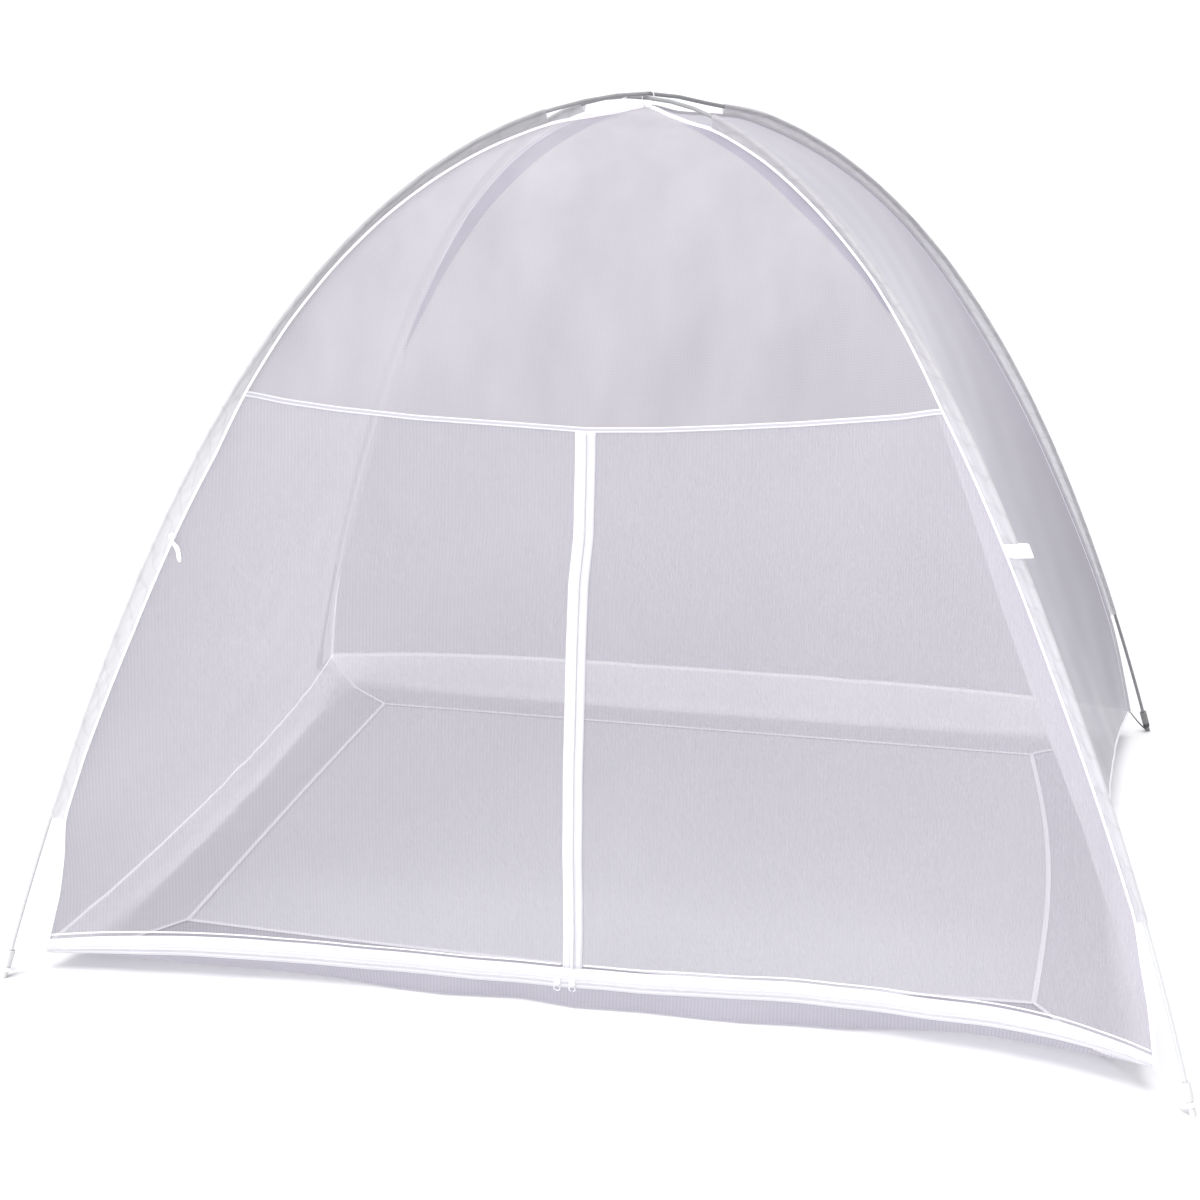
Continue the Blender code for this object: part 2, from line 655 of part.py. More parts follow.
def add_left_tie():
    """Tail laid over the seam and the door, and the small knot above it."""
    path = [beside_seam(*place) for place in TAIL_PATH]
    halves = []
    for row, inward_by, out_by in TAIL_PATH:
        here = beside_seam(row, inward_by, out_by)
        halves.append((beside_seam(row - 0.0020, inward_by + 0.0030, out_by) - here))
    ribbon("door_tie_tail", path, halves, SHEET, BRIGHT)
    knot = bmesh.new()
    bmesh.ops.create_cube(knot, size=1.0)
    bmesh.ops.bevel(knot, geom=knot.edges[:], offset=0.22, segments=2,
                    profile=0.5, affect="EDGES", material=-1)
    _, down, inward, side = leg_axes("front_left", KNOT_ROW)
    centre = beside_seam(KNOT_ROW, -0.0060, 0.0062)
    for vertex in knot.verts:
        x, y, z = vertex.co
        vertex.co = centre + inward * (x * 0.011) + down * (y * 0.011) + side * (z * 0.006)
    mesh_object("door_tie_knot", knot, BRIGHT)


TAB_HALF = 0.0115       # half width of the tab


def add_right_tab():
    """Tape from the fin out round the pole, its fold standing clear of it."""
    row = 1.135
    point, down, inward, side = leg_axes("front_right", row)
    root = fin("front_right", row) - 0.002
    # in from the pole, sideways
    turns = ((root, -0.0026), (0.012, -0.0047), (0.002, -0.0064), (-0.006, -0.0056),
             (-0.014, -0.0034), (-0.022, -0.0020), (-0.025, 0.0), (-0.022, 0.0020),
             (-0.014, 0.0034), (-0.006, 0.0056), (0.002, 0.0064), (0.012, 0.0047),
             (root, 0.0026))
    path = [point + inward * in_by + side * by - down * (0.35 * in_by)
            for in_by, by in turns]
    ribbon("door_tie_tab", path, [down * TAB_HALF] * len(path), SHEET, BRIGHT)


add_left_tie()
add_right_tab()
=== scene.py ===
"""Mosquito net canopy, free-standing: its cloth and finishes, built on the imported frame.

Two sprung poles cross over the middle.  The net hangs from them in four folded
sleeves, closes in front with two zips and turns inward on the floor.
Metres, +Z up, the zipped front faces -Y, the feet and the flange rest on z = 0.
"""
import math

import bmesh
import bpy
import numpy as np
from mathutils import Matrix, Vector


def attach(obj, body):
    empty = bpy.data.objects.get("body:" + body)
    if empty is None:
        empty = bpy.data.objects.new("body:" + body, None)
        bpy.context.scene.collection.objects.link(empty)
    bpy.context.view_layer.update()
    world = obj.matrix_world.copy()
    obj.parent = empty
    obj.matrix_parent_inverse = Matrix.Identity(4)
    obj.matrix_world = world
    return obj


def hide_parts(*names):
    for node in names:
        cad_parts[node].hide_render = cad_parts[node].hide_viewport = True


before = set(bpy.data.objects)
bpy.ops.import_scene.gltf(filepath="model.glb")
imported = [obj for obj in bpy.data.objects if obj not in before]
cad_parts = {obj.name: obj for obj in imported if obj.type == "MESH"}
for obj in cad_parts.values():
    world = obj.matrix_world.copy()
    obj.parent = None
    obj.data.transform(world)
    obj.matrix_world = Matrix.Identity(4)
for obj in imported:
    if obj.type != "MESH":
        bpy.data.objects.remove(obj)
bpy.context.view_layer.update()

# View: a camera at standing height, a little right of the middle, looking
# slightly down on the front with a 56 mm lens.
CAMERA_PLACE = (0.6837, -3.3637, 1.69)
YAW, PITCH, ROLL = -0.2282, -0.3319, -0.0113
FOCAL_PIXELS = 1884.25
IMAGE_PIXELS = 1200
SENSOR = 36.0

ahead = Vector((math.sin(YAW) * math.cos(PITCH), math.cos(YAW) * math.cos(PITCH),
                math.sin(PITCH)))
level = Vector((math.cos(YAW), -math.sin(YAW), 0.0))
above = level.cross(ahead)
right = level * math.cos(ROLL) + above * math.sin(ROLL)
upward = above * math.cos(ROLL) - level * math.sin(ROLL)
camera_data = bpy.data.cameras.new("camera")
camera_data.sensor_width = SENSOR
camera_data.lens = FOCAL_PIXELS * SENSOR / IMAGE_PIXELS
camera_data.clip_end = 900.0
camera = bpy.data.objects.new("camera", camera_data)
camera.matrix_world = Matrix.Translation(CAMERA_PLACE) @ Matrix(
    (right, upward, -ahead)).transposed().to_4x4()
scene = bpy.context.scene
scene.collection.objects.link(camera)
scene.camera = camera
scene.view_settings.view_transform = "Standard"


# Studio: a plain pale floor that runs on as the backdrop, an even white
# surround, a broad soft light above and a weaker one from the front left.
def linear(colour):
    """Linear colour, with alpha 1, from an sRGB hex value."""
    shares = [int(colour[place:place + 2], 16) / 255.0 for place in (1, 3, 5)]
    return (*[share / 12.92 if share <= 0.04045 else ((share + 0.055) / 1.055) ** 2.4
              for share in shares], 1.0)


def add_node(tree, kind, inputs=None, **settings):
    """One node with its settings; inputs maps a socket to a number, an sRGB hex
    colour, an output, or a node, which stands for its first output in use.
    """
    node = tree.nodes.new("ShaderNode" + kind)
    for name, value in settings.items():
        setattr(node, name, value)
    for socket, value in (inputs or {}).items():
        if isinstance(value, bpy.types.Node):
            value = next(output for output in value.outputs if output.enabled)
        if isinstance(value, bpy.types.NodeSocket):
            tree.links.new(value, node.inputs[socket])
        else:
            is_colour = isinstance(value, str)
            node.inputs[socket].default_value = linear(value) if is_colour else value
    return node


def new_material(name):
    """An empty node material and its tree."""
    material = bpy.data.materials.new(name)
    material.use_nodes = True
    material.node_tree.nodes.clear()
    return material, material.node_tree


def mottled(tree, place, scale, detail, low, high):
    """A tone that drifts like a cloud between two colours."""
    cloud = add_node(tree, "TexNoise", {"Vector": place, "Scale": scale, "Detail": detail})
    return add_node(tree, "Mix", {0: cloud.outputs["Fac"], 6: low, 7: high},
                    data_type="RGBA")


surround = bpy.data.worlds.new("white surround")
surround.use_nodes = True
tree = surround.node_tree
tree.nodes.clear()
seen = add_node(tree, "LightPath").outputs["Is Camera Ray"]
strength = add_node(tree, "MapRange", {"Value": seen, "To Min": 0.62, "To Max": 1.0})
glow = add_node(tree, "Background", {"Color": "#FFFFFF", "Strength": strength})
add_node(tree, "OutputWorld", {"Surface": glow})
scene.world = surround

for light_name, energy, spread, towards in (("top", 2.6, 40.0, (-0.10, -0.10, 1.0)),
                                            ("key", 1.9, 70.0, (-0.55, -0.75, 0.40))):
    lamp = bpy.data.lights.new(light_name, "SUN")
    lamp.energy = energy
    lamp.angle = math.radians(spread)
    lamp_object = bpy.data.objects.new(light_name, lamp)
    lamp_object.rotation_euler = Vector(towards).to_track_quat("Z", "Y").to_euler()
    scene.collection.objects.link(lamp_object)

# pale matt board with a faint mottle
floor_material, tree = new_material("pale matt board")
place = add_node(tree, "TexCoord").outputs["Object"]
tone = mottled(tree, place, 3.0, 2.0, "#DDDDDF", "#E0E0E2")
board = add_node(tree, "BsdfPrincipled", {"Base Color": tone, "Roughness": 0.9,
                                          "Specular IOR Level": 0.2})
add_node(tree, "OutputMaterial", {"Surface": board})
ground = bmesh.new()
bmesh.ops.create_grid(ground, x_segments=2, y_segments=2, size=300.0)
bmesh.ops.translate(ground, verts=ground.verts, vec=(0.0, 0.0, -0.0006))
floor_data = bpy.data.meshes.new("floor")
ground.to_mesh(floor_data)
ground.free()
floor_data.materials.append(floor_material)
floor = bpy.data.objects.new("floor", floor_data)
scene.collection.objects.link(floor)


# Poles: two 7 mm rods of pultruded glass fibre, sprung from corner to corner.
# They keep the frame's own shape.
def back_shaded_tone(tree, place, fleck, span, *pairs):
    """A flecked tone: a pale pair of colours in front turns to a dark pair behind,
    over a span along Y.  The dark pair behind is painted shade.
    """
    depth = add_node(tree, "SeparateXYZ", {0: place})
    fade = add_node(tree, "MapRange", {"Value": depth.outputs["Y"], "From Min": span[0],
                                       "From Max": span[1]})
    pale, dark = [add_node(tree, "Mix", {0: fleck.outputs["Fac"], 6: low, 7: high},
                           data_type="RGBA") for low, high in pairs]
    return add_node(tree, "Mix", {0: fade, 6: pale, 7: dark}, data_type="RGBA")


pole_material, tree = new_material("pultruded glass fibre, grey")
# resin drawn along the rod: long fine streaks and a slight gloss; painted shade:
# the rods are painted pale near the front feet and darker towards the crossing
# and the back
place = add_node(tree, "TexCoord").outputs["Object"]
streak = add_node(tree, "TexNoise", {"Vector": place, "Scale": 420.0, "Detail": 3.0})
tone = back_shaded_tone(tree, place, streak, (-0.70, 0.05), ("#C2C3C5", "#DCDDDE"),
                 ("#737476", "#97989A"))
grain = add_node(tree, "Bump", {"Height": streak.outputs["Fac"], "Strength": 0.15,
                                "Distance": 0.0003})
resin = add_node(tree, "BsdfPrincipled", {"Base Color": tone, "Roughness": 0.38,
                                          "IOR": 1.52, "Normal": grain})
add_node(tree, "OutputMaterial", {"Surface": resin})


def dress(node_name, material):
    """Gives a node of the frame its finished material."""
    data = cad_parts[node_name].data
    data.materials.clear()
    data.materials.append(material)


LEGS = {
    # side along X, side along Y, column in the fin table, slide of the rows,
    # bulge over the whole leg, at the shoulder, near the crossing, and how far
    # it sinks beside the crossing
    "front_left": (-1, -1, 1, 0.030, 0.020, 0.009, 0.000, 0.000),
    "front_right": (1, -1, 2, -0.012, -0.012, 0.002, -0.003, 0.000),
    "back_right": (1, 1, 3, 0.000, -0.006, 0.003, 0.000, 0.0075),
    "back_left": (-1, 1, 4, 0.000, 0.008, 0.002, 0.000, 0.000),
}
for pole_name in ("pole_front_left_to_back_right", "pole_front_right_to_back_left"):
    dress(pole_name, pole_material)

# Feet: injection-moulded nylon in two steps, gripping the pole ends.  They
# keep the frame's own shape.
foot_material, tree = new_material("injection-moulded nylon, light grey")
# fine sparkle of a spark-eroded mould; the feet at the back painted darker: painted shade
place = add_node(tree, "TexCoord").outputs["Object"]
cloud = add_node(tree, "TexNoise", {"Vector": place, "Scale": 60.0, "Detail": 4.0})
tone = back_shaded_tone(tree, place, cloud, (-0.3, 0.3), ("#C9CACB", "#E2E2E3"),
                 ("#6C6C6D", "#8E8E8E"))
grit = add_node(tree, "TexNoise", {"Vector": place, "Scale": 1600.0, "Detail": 1.0})
skin = add_node(tree, "Bump", {"Height": grit.outputs["Fac"], "Strength": 0.12,
                               "Distance": 0.0003})
nylon = add_node(tree, "BsdfPrincipled", {"Base Color": tone, "Roughness": 0.48,
                                          "IOR": 1.53, "Normal": skin})
add_node(tree, "OutputMaterial", {"Surface": nylon})
for leg_name in LEGS:
    dress("foot_" + leg_name, foot_material)

# Sleeves: a strip of white polyester taffeta folded round each pole, its two
# edges brought together and sewn into the seam between two walls.  The sewing
# pulls it into slanting wrinkles.
FOOT_X = 1.000
FOOT_Y = 0.765
CROSSING = 1.4515       # height at which the poles would cross unpulled
PEAK_DROP = 0.018       # the net's peak hangs this far under the crossing
BEND = 1.0877           # slope gained over the fast part of a leg, radians
BEND_SPAN = 0.646
BEND_RATE = 0.0918      # slope gained per metre over the whole leg
LEG_ARC = 2.0305        # length of a leg
DIP = 0.0045            # how far the tie pulls the poles down at the crossing
DIP_SPAN = 0.45         # how far along a leg this reaches
SINK_SPAN = 0.25        # how far along a leg it sinks beside the crossing
HEM_ROW = 1.960         # bottom edge of the net, down a leg
SLIDE_SPAN = 1.725
# where each sleeve begins and ends, down its leg
SLEEVES = {"front_left": (0.194, 1.725), "front_right": (0.175, 1.725),
           "back_right": (0.153, 1.704), "back_left": (0.184, 1.704)}
# distance down a leg; pole to seam at the front left, front right, back right,
# back left leg
FIN = (
    (0.000, PEAK_DROP, PEAK_DROP, PEAK_DROP, PEAK_DROP),
    (0.060, 0.028, 0.028, 0.027, 0.028),
    (0.120, 0.029, 0.029, 0.020, 0.028),
    (0.180, 0.024, 0.022, 0.015, 0.020),
    (0.250, 0.023, 0.020, 0.019, 0.020),
    (0.330, 0.020, 0.017, 0.019, 0.019),
    (0.520, 0.014, 0.014, 0.017, 0.017),
    (0.630, 0.013, 0.013, 0.017, 0.017),
    (0.750, 0.014, 0.018, 0.020, 0.020),
    (0.885, 0.020, 0.026, 0.023, 0.023),
    (1.000, 0.029, 0.025, 0.024, 0.024),
    (1.360, 0.029, 0.022, 0.021, 0.021),
    (1.600, 0.024, 0.019, 0.016, 0.016),
    (1.725, 0.026, 0.017, 0.017, 0.017),
    (1.790, 0.043, 0.028, 0.021, 0.021),
    (1.860, 0.055, 0.035, 0.027, 0.029),
    (1.960, 0.060, 0.052, 0.036, 0.046),
)
DENSE = np.linspace(0.0, LEG_ARC, 2031)     # one place each millimetre of a leg
UP = np.array((0.0, 0.0, 1.0))


def smooth(value, low, high):
    """Smooth step from 0 at low to 1 at high."""
    share = np.clip((np.asarray(value, float) - low) / (high - low), 0.0, 1.0)
    return share * share * (3.0 - 2.0 * share)


def softened(values, width):
    """A dense curve with its corners rounded over a width in millimetres."""
    window = np.hanning(width + 2)[1:-1]
    padded = np.pad(values, width // 2, mode="edge")
    return np.convolve(padded, window / window.sum(), mode="valid")


def build_arch():
    """Reach from the middle, height and slope of a sprung leg."""
    slope = BEND * (1.0 - np.exp(-DENSE / BEND_SPAN)) + BEND_RATE * DENSE
    middle = 0.5 * (slope[1:] + slope[:-1])
    reach = np.concatenate(([0.0], np.cumsum(np.cos(middle))))
    fall = np.concatenate(([0.0], np.cumsum(np.sin(middle))))
    reach *= math.hypot(FOOT_X, FOOT_Y) / reach[-1]
    fall *= CROSSING / fall[-1]
    return reach, CROSSING - fall, slope


REACH, HEIGHT, SLOPE = build_arch()


def leg_flat(leg, row):
    """Reach and height of a leg's centre line."""
    slide, whole, shoulder, top, sink = LEGS[leg][3:]
    lowered = DIP * (1.0 - smooth(row, 0.0, DIP_SPAN))
    lowered = lowered + sink * np.sin(math.pi * np.minimum(row / SINK_SPAN, 1.0)) ** 2
    row = row + slide * np.sin(math.pi * np.minimum(row / SLIDE_SPAN, 1.0)) ** 2
    turn = math.pi * np.minimum(row, LEG_ARC) / LEG_ARC
    bulge = whole * np.sin(turn) + shoulder * np.sin(2.0 * turn) + top * np.sin(4.0 * turn)
    slope = np.interp(row, DENSE, SLOPE)
    return (np.interp(row, DENSE, REACH) + bulge * np.sin(slope),
            np.interp(row, DENSE, HEIGHT) + bulge * np.cos(slope) - lowered)


def leg_axes(leg, row):
    """Points on a leg, directions down it, in to the seam, and sideways."""
    row = np.asarray(row, float)
    out = np.array((LEGS[leg][0] * FOOT_X, LEGS[leg][1] * FOOT_Y, 0.0))
    out /= np.linalg.norm(out)
    reach, height = leg_flat(leg, row)
    before = leg_flat(leg, np.maximum(row - 0.004, 0.0))
    after = leg_flat(leg, np.minimum(row + 0.004, LEG_ARC))
    run = np.hypot(after[0] - before[0], after[1] - before[1])
    cosine = ((after[0] - before[0]) / run)[..., None]
    sine = ((before[1] - after[1]) / run)[..., None]
    inward = -sine * out - cosine * UP
    down = cosine * out - sine * UP
    return reach[..., None] * out + height[..., None] * UP, down, inward, np.cross(down, inward)


SEAM_FINS = {leg: softened(np.interp(DENSE, [line[0] for line in FIN],
                                     [line[LEGS[leg][2]] for line in FIN]), 61)
             for leg in LEGS}


def seam_line(leg):
    """Dense line of the seam that joins two walls under a leg."""
    point, _, inward, _ = leg_axes(leg, DENSE)
    return point + inward * SEAM_FINS[leg][:, None]


SEAMS = {leg: seam_line(leg) for leg in LEGS}


def seam_point(leg, row):
    """Points on a leg's seam line."""
    return np.stack([np.interp(row, DENSE, SEAMS[leg][:, axis]) for axis in range(3)], -1)


def waves(first, second, seed, size, count=7):
    """Even, repeatable unevenness of about +-1, with waves of about that size."""
    draw = np.random.default_rng(seed)
    total = 0.0
    for _ in range(count):
        angle = draw.uniform(0.0, 2.0 * math.pi)
        pitch = 2.0 * math.pi / (size * draw.uniform(0.7, 1.6))
        total = total + np.sin(pitch * (first * math.cos(angle) + second * math.sin(angle))
                               + draw.uniform(0.0, 2.0 * math.pi))
    return total * 1.6 / count


def unit(vectors):
    """An array of vectors, each brought to length 1."""
    return vectors / np.linalg.norm(vectors, axis=-1)[..., None]


def spaced(low, high, step):
    """Even places from low to high, about a step apart."""
    return np.linspace(low, high, max(2, int(round((high - low) / step)) + 1))


CENTRE = Vector((0.0, 0.0, 0.55))


def cloth(name, points, flat, material, thickness=0.0, core=None):
    """A cloth piece: a grid laid on an array of points.  The two coordinates of its
    flat pattern, in metres, are kept as UV.

    It faces away from the middle of the canopy, or from its own core line.
    """
    flat = np.stack(np.broadcast_arrays(*flat), -1)
    rows, columns = points.shape[:2]
    grid = bmesh.new()
    bmesh.ops.create_grid(grid, x_segments=columns - 1, y_segments=rows - 1, size=1.0)
    pattern = grid.loops.layers.uv.new("cloth")
    places = {}
    for vertex in grid.verts:
        row = round((vertex.co.y + 1.0) / 2.0 * (rows - 1))
        column = round((vertex.co.x + 1.0) / 2.0 * (columns - 1))
        places[vertex] = (row, column)
        vertex.co = points[row, column]
    for face in grid.faces:
        for loop in face.loops:
            loop[pattern].uv = flat[places[loop.vert]]
    grid.normal_update()
    facing = 0.0
    for face in grid.faces:
        centre = CENTRE if core is None else Vector(core[places[face.verts[0]][0]])
        facing += face.normal.dot(face.calc_center_median() - centre) * face.calc_area()
    if facing < 0.0:
        bmesh.ops.reverse_faces(grid, faces=grid.faces)
    return finished(name, grid, material, thickness)


def finished(name, mesh_data, material, thickness=0.0):
    """Turns a bmesh into a smooth-shaded piece that rides on the canopy."""
    data = bpy.data.meshes.new(name)
    mesh_data.to_mesh(data)
    mesh_data.free()
    data.shade_smooth()
    data.materials.append(material)
    piece = bpy.data.objects.new(name, data)
    scene.collection.objects.link(piece)
    if thickness:
        solid = piece.modifiers.new("thickness", "SOLIDIFY")
        solid.thickness = thickness
        solid.offset = 0.0
    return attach(piece, "root")


def run_lengths(points, axis):
    """Distances along one direction of a grid of points."""
    steps = np.linalg.norm(np.diff(points, axis=axis), axis=-1)
    return np.cumsum(np.insert(steps, 0, 0.0, axis=axis), axis=axis)


def hang(piece, points, slot, nodes):
    """Hides the frame's nodes that a cloth piece stands for."""
    sew(piece, slot, *nodes)


def sew(piece, slot, *nodes):
    """Hides the frame's nodes that a piece stands for."""
    if nodes:
        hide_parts(*nodes)


def sheer_cloth(tree, face, back, through, cover):
    """Closes a sheer cloth's material: what its lit and its shone-through side are
    made of, the share that shines through, and how much the threads hide.
    """
    lit = add_node(tree, "BsdfPrincipled", face)
    shone = add_node(tree, "BsdfTranslucent", back)
    both = add_node(tree, "MixShader", {0: through, 1: lit, 2: shone})
    gaps = add_node(tree, "BsdfTransparent")
    sheer = add_node(tree, "MixShader", {0: cover, 1: gaps, 2: both})
    add_node(tree, "OutputMaterial", {"Surface": sheer})


BANDS = math.pi / 10.0  # scale of a wave texture whose bands are a metre apart


def plain_weave(tree, flat, spacing):
    """Warp and weft threads a spacing apart, highest where they cross."""
    warp, weft = [add_node(tree, "TexWave", {"Vector": flat, "Scale": BANDS / spacing},
                           bands_direction=way) for way in "XY"]
    return add_node(tree, "Math", {0: warp.outputs["Fac"], 1: weft.outputs["Fac"]},
                    operation="MULTIPLY")


def sleeve_material_of(name, pale, deep, shaded_pale, shaded_deep):
    """Taffeta: plain woven and calendered, close, smooth and a little see-through."""
    material, tree = new_material(name)
    flat = add_node(tree, "UVMap", uv_map="cloth")
    place = add_node(tree, "TexCoord").outputs["Object"]
    # threads drawn 1.2 mm apart, four times the real spacing, so that they show
    weave = plain_weave(tree, flat, 0.0012)
    # soft slubs a few centimetres long, and thin creases that run slanting across
    # the strip, about 55 mm apart along it
    slub = add_node(tree, "TexNoise", {"Vector": place, "Scale": 26.0, "Detail": 3.0})
    slanting = add_node(tree, "Mapping", {"Vector": flat, "Scale": (30.0, 18.0, 0.0)})
    fold = add_node(tree, "TexWave", {"Vector": slanting, "Scale": math.pi / 5.0,
                                      "Distortion": 6.0, "Detail": 2.0,
                                      "Detail Scale": 1.2}, bands_direction="DIAGONAL")
    crease = add_node(tree, "MapRange", {"Value": fold.outputs["Fac"], "From Min": 0.84,
                                         "From Max": 1.0})
    # the strip is painted bright low down and greyer above: painted light and shade
    height = add_node(tree, "SeparateXYZ", {0: place})
    shaded_above = add_node(tree, "MapRange", {"Value": height.outputs["Z"], "From Min": 0.80,
                                       "From Max": 1.30}, interpolation_type="SMOOTHSTEP")
    low_tone = add_node(tree, "Mix", {0: slub.outputs["Fac"], 6: deep, 7: pale},
                        data_type="RGBA")
    high_tone = add_node(tree, "Mix", {0: slub.outputs["Fac"], 6: shaded_deep, 7: shaded_pale},
                         data_type="RGBA")
    tone = add_node(tree, "Mix", {0: shaded_above, 6: low_tone, 7: high_tone}, data_type="RGBA")
    # the creases are painted darker: painted shade
    shade = add_node(tree, "MapRange", {"Value": crease, "To Min": 1.0, "To Max": 0.92})
    shade_lined = add_node(tree, "VectorMath", {0: tone, "Scale": shade}, operation="SCALE")
    relief = add_node(tree, "Math", {0: weave, 1: 0.2, 2: fold.outputs["Fac"]},
                      operation="MULTIPLY_ADD")
    raised = add_node(tree, "Bump", {"Height": relief, "Strength": 0.4, "Distance": 0.0007})
    cover = add_node(tree, "MapRange", {"Value": weave, "To Min": 0.68, "To Max": 0.84})
    sheer_cloth(tree, {"Base Color": shade_lined, "Roughness": 0.62, "Sheen Weight": 0.15,
                       "Normal": raised}, {"Color": shade_lined, "Normal": raised}, 0.52, cover)
    return material


# two copies of one taffeta: one for the right legs, and one for the left legs with stronger
# painted light low down and painted shade above
taffeta = sleeve_material_of("polyester taffeta, white", "#F4F3F7", "#E9E8EC", "#E9E7EB",
                             "#D9D7DB")
taffeta_lit_and_shaded = sleeve_material_of("polyester taffeta, painted light and shade", "#FFFFFF", "#F8F7FA",
                                  "#DCDBDE", "#C8C7CA")

POCKET = 0.0051         # half width of the pocket round the pole
FLANK = np.linspace(1.0, 0.0, 11)
ROUND = np.radians(np.linspace(90.0, 270.0, 11))[1:-1]


def sleeve_points(leg):
    """Rings of the folded strip: seam, one flank, round the pole, other flank."""
    rows = spaced(*SLEEVES[leg], 0.006)
    point, _, inward, side = leg_axes(leg, rows)
    reach = np.interp(rows, DENSE, SEAM_FINS[leg])
    rings = []
    for flank, sign in ((FLANK, 1.0), (None, 0.0), (FLANK[::-1], -1.0)):
        if flank is None:
            for angle in ROUND:
                rings.append(point + inward * (POCKET * math.cos(angle))
                             + side * (POCKET * math.sin(angle)))
            continue
        for share in flank:
            half = 0.0008 + (POCKET - 0.0008) * (1.0 - smooth(share, 0.0, 0.85))
            half = 0.0 if share == 1.0 else half
            slant = rows + sign * 0.5 * share * reach
            crease = waves(slant, share * 0.05 + sign * 0.3, 11 + list(LEGS).index(leg),
                           0.034) * 0.0016 * math.sin(math.pi * share) ** 0.7
            spread = np.maximum(half + crease * (half > 0.0), 0.0002 * (share < 1.0))
            rings.append(point + inward * (share * reach)[:, None]
                         + side * (sign * spread)[:, None])
    return np.stack(rings, 1), rows


for leg_name in LEGS:
    ring_points, ring_rows = sleeve_points(leg_name)
    sleeve = cloth("sleeve_cloth_" + leg_name, ring_points,
                   (run_lengths(ring_points, 1), ring_rows[:, None]),
                   taffeta if leg_name.endswith("right") else taffeta_lit_and_shaded,
                   core=ring_points.mean(1))
    hang(sleeve, ring_points,
         "sleeve", ["sleeve_" + leg_name])

# Seams: the four lines where two walls and a sleeve are overlocked together,
# from the peak down to the hem, bright on both flanks of the sleeve's fin, with a
# faint painted glow.  The back right one is painted grey, painted shade, and the
# two at the back have a cover tape inside, with a strong painted glow.
SEAM_WIDTH = 0.0050
SEAM_OUT = 0.0020       # towards the pole from the seam's own line
SEAM_ASIDE = 0.0024     # to either flank of the fin
COVER_WIDTH = 0.0080
COVER_IN = 0.0038       # away from the pole


def tape_material_of(name, through, painted_glow, deep="#ECEAF1", low="#F4F3F7",
                     high="#FFFFFF"):
    """Narrow-loom tape: close ribs across, matt; through is its sheerness, and the
    third argument a painted glow: painted light that the tape gives off beyond what
    falls on it.
    """
    material, tree = new_material(name)
    flat = add_node(tree, "UVMap", uv_map="cloth")
    place = add_node(tree, "TexCoord").outputs["Object"]
    # ribs drawn 1.6 mm apart, twice the real spacing
    rib = add_node(tree, "TexWave", {"Vector": flat, "Scale": BANDS / 0.0016},
                   bands_direction="X")
    yarn = add_node(tree, "TexWave", {"Vector": flat, "Scale": BANDS / 0.0020},
                    bands_direction="DIAGONAL")
    weave = add_node(tree, "Math", {0: rib.outputs["Fac"], 1: yarn.outputs["Fac"]},
                     operation="ADD")
    bright = mottled(tree, place, 40.0, 2.0, low, high)
    tone = add_node(tree, "Mix", {0: weave, 6: deep, 7: bright}, data_type="RGBA")
    raised = add_node(tree, "Bump", {"Height": weave, "Strength": 0.3, "Distance": 0.0003})
    # the emission is painted light: a glow given off on top of the light that falls on the tape
    woven = add_node(tree, "BsdfPrincipled", {
        "Base Color": tone, "Roughness": 0.75, "Sheen Weight": 0.1,
        "Emission Color": "#F6F5FA", "Emission Strength": painted_glow,
        "Normal": raised})
    back = add_node(tree, "BsdfTranslucent", {"Color": tone})
    both = add_node(tree, "MixShader", {0: through, 1: woven, 2: back})
    add_node(tree, "OutputMaterial", {"Surface": both})
    return material


# white tapes with a painted glow: faint on the tape, more on the binding, strongest on the seam
# cover
tape_material = tape_material_of("woven polyester tape, white", 0.05, 0.15)
binding_material = tape_material_of("woven polyester binding, thin and white", 0.50, 0.30)
cover_material = tape_material_of("woven polyester seam cover, bright", 0.40, 0.75)
# a grey copy of the seam tape for the back right leg: painted shade
shaded_seam_material = tape_material_of("overlocked polyester seam, painted shade", 0.30, 0.0, "#BDBBC2",
                                 "#C8C6CC", "#D4D2D7")
# a dark copy of the tape for the straps at the back feet: painted shade
shaded_tape_material = tape_material_of("woven polyester tape, painted shade", 0.05, 0.0, "#3E3E40",
                                      "#4A4A4C", "#5E5E60")


def strip(name, line, width, away, material):
    """A tape of even width along a line of points; away is the side it faces."""
    across = unit(np.cross(unit(np.gradient(line, axis=0)), away))
    sides = np.linspace(-0.5, 0.5, 5)
    points = np.stack([line + across * (width * side) for side in sides], 1)
    length = run_lengths(points, 0)[:, 2]
    return cloth(name, points, (length[:, None], width * sides), material)


for leg_name in LEGS:
    rows = spaced(0.010, HEM_ROW, 0.010)
    _, _, inward, side = leg_axes(leg_name, rows)
    for flank_name, sign in (("one_side", 1.0), ("other_side", -1.0)):
        line = seam_point(leg_name, rows) - inward * SEAM_OUT + side * (SEAM_ASIDE * sign)
        sew(strip("seam_" + leg_name + "_" + flank_name, line, SEAM_WIDTH, side,
                  shaded_seam_material if leg_name == "back_right" else tape_material), "sleeve")
    if leg_name.startswith("back"):
        line = seam_point(leg_name, rows) + inward * COVER_IN
        sew(strip("seam_cover_" + leg_name, line, COVER_WIDTH, inward, cover_material),
            "sleeve")

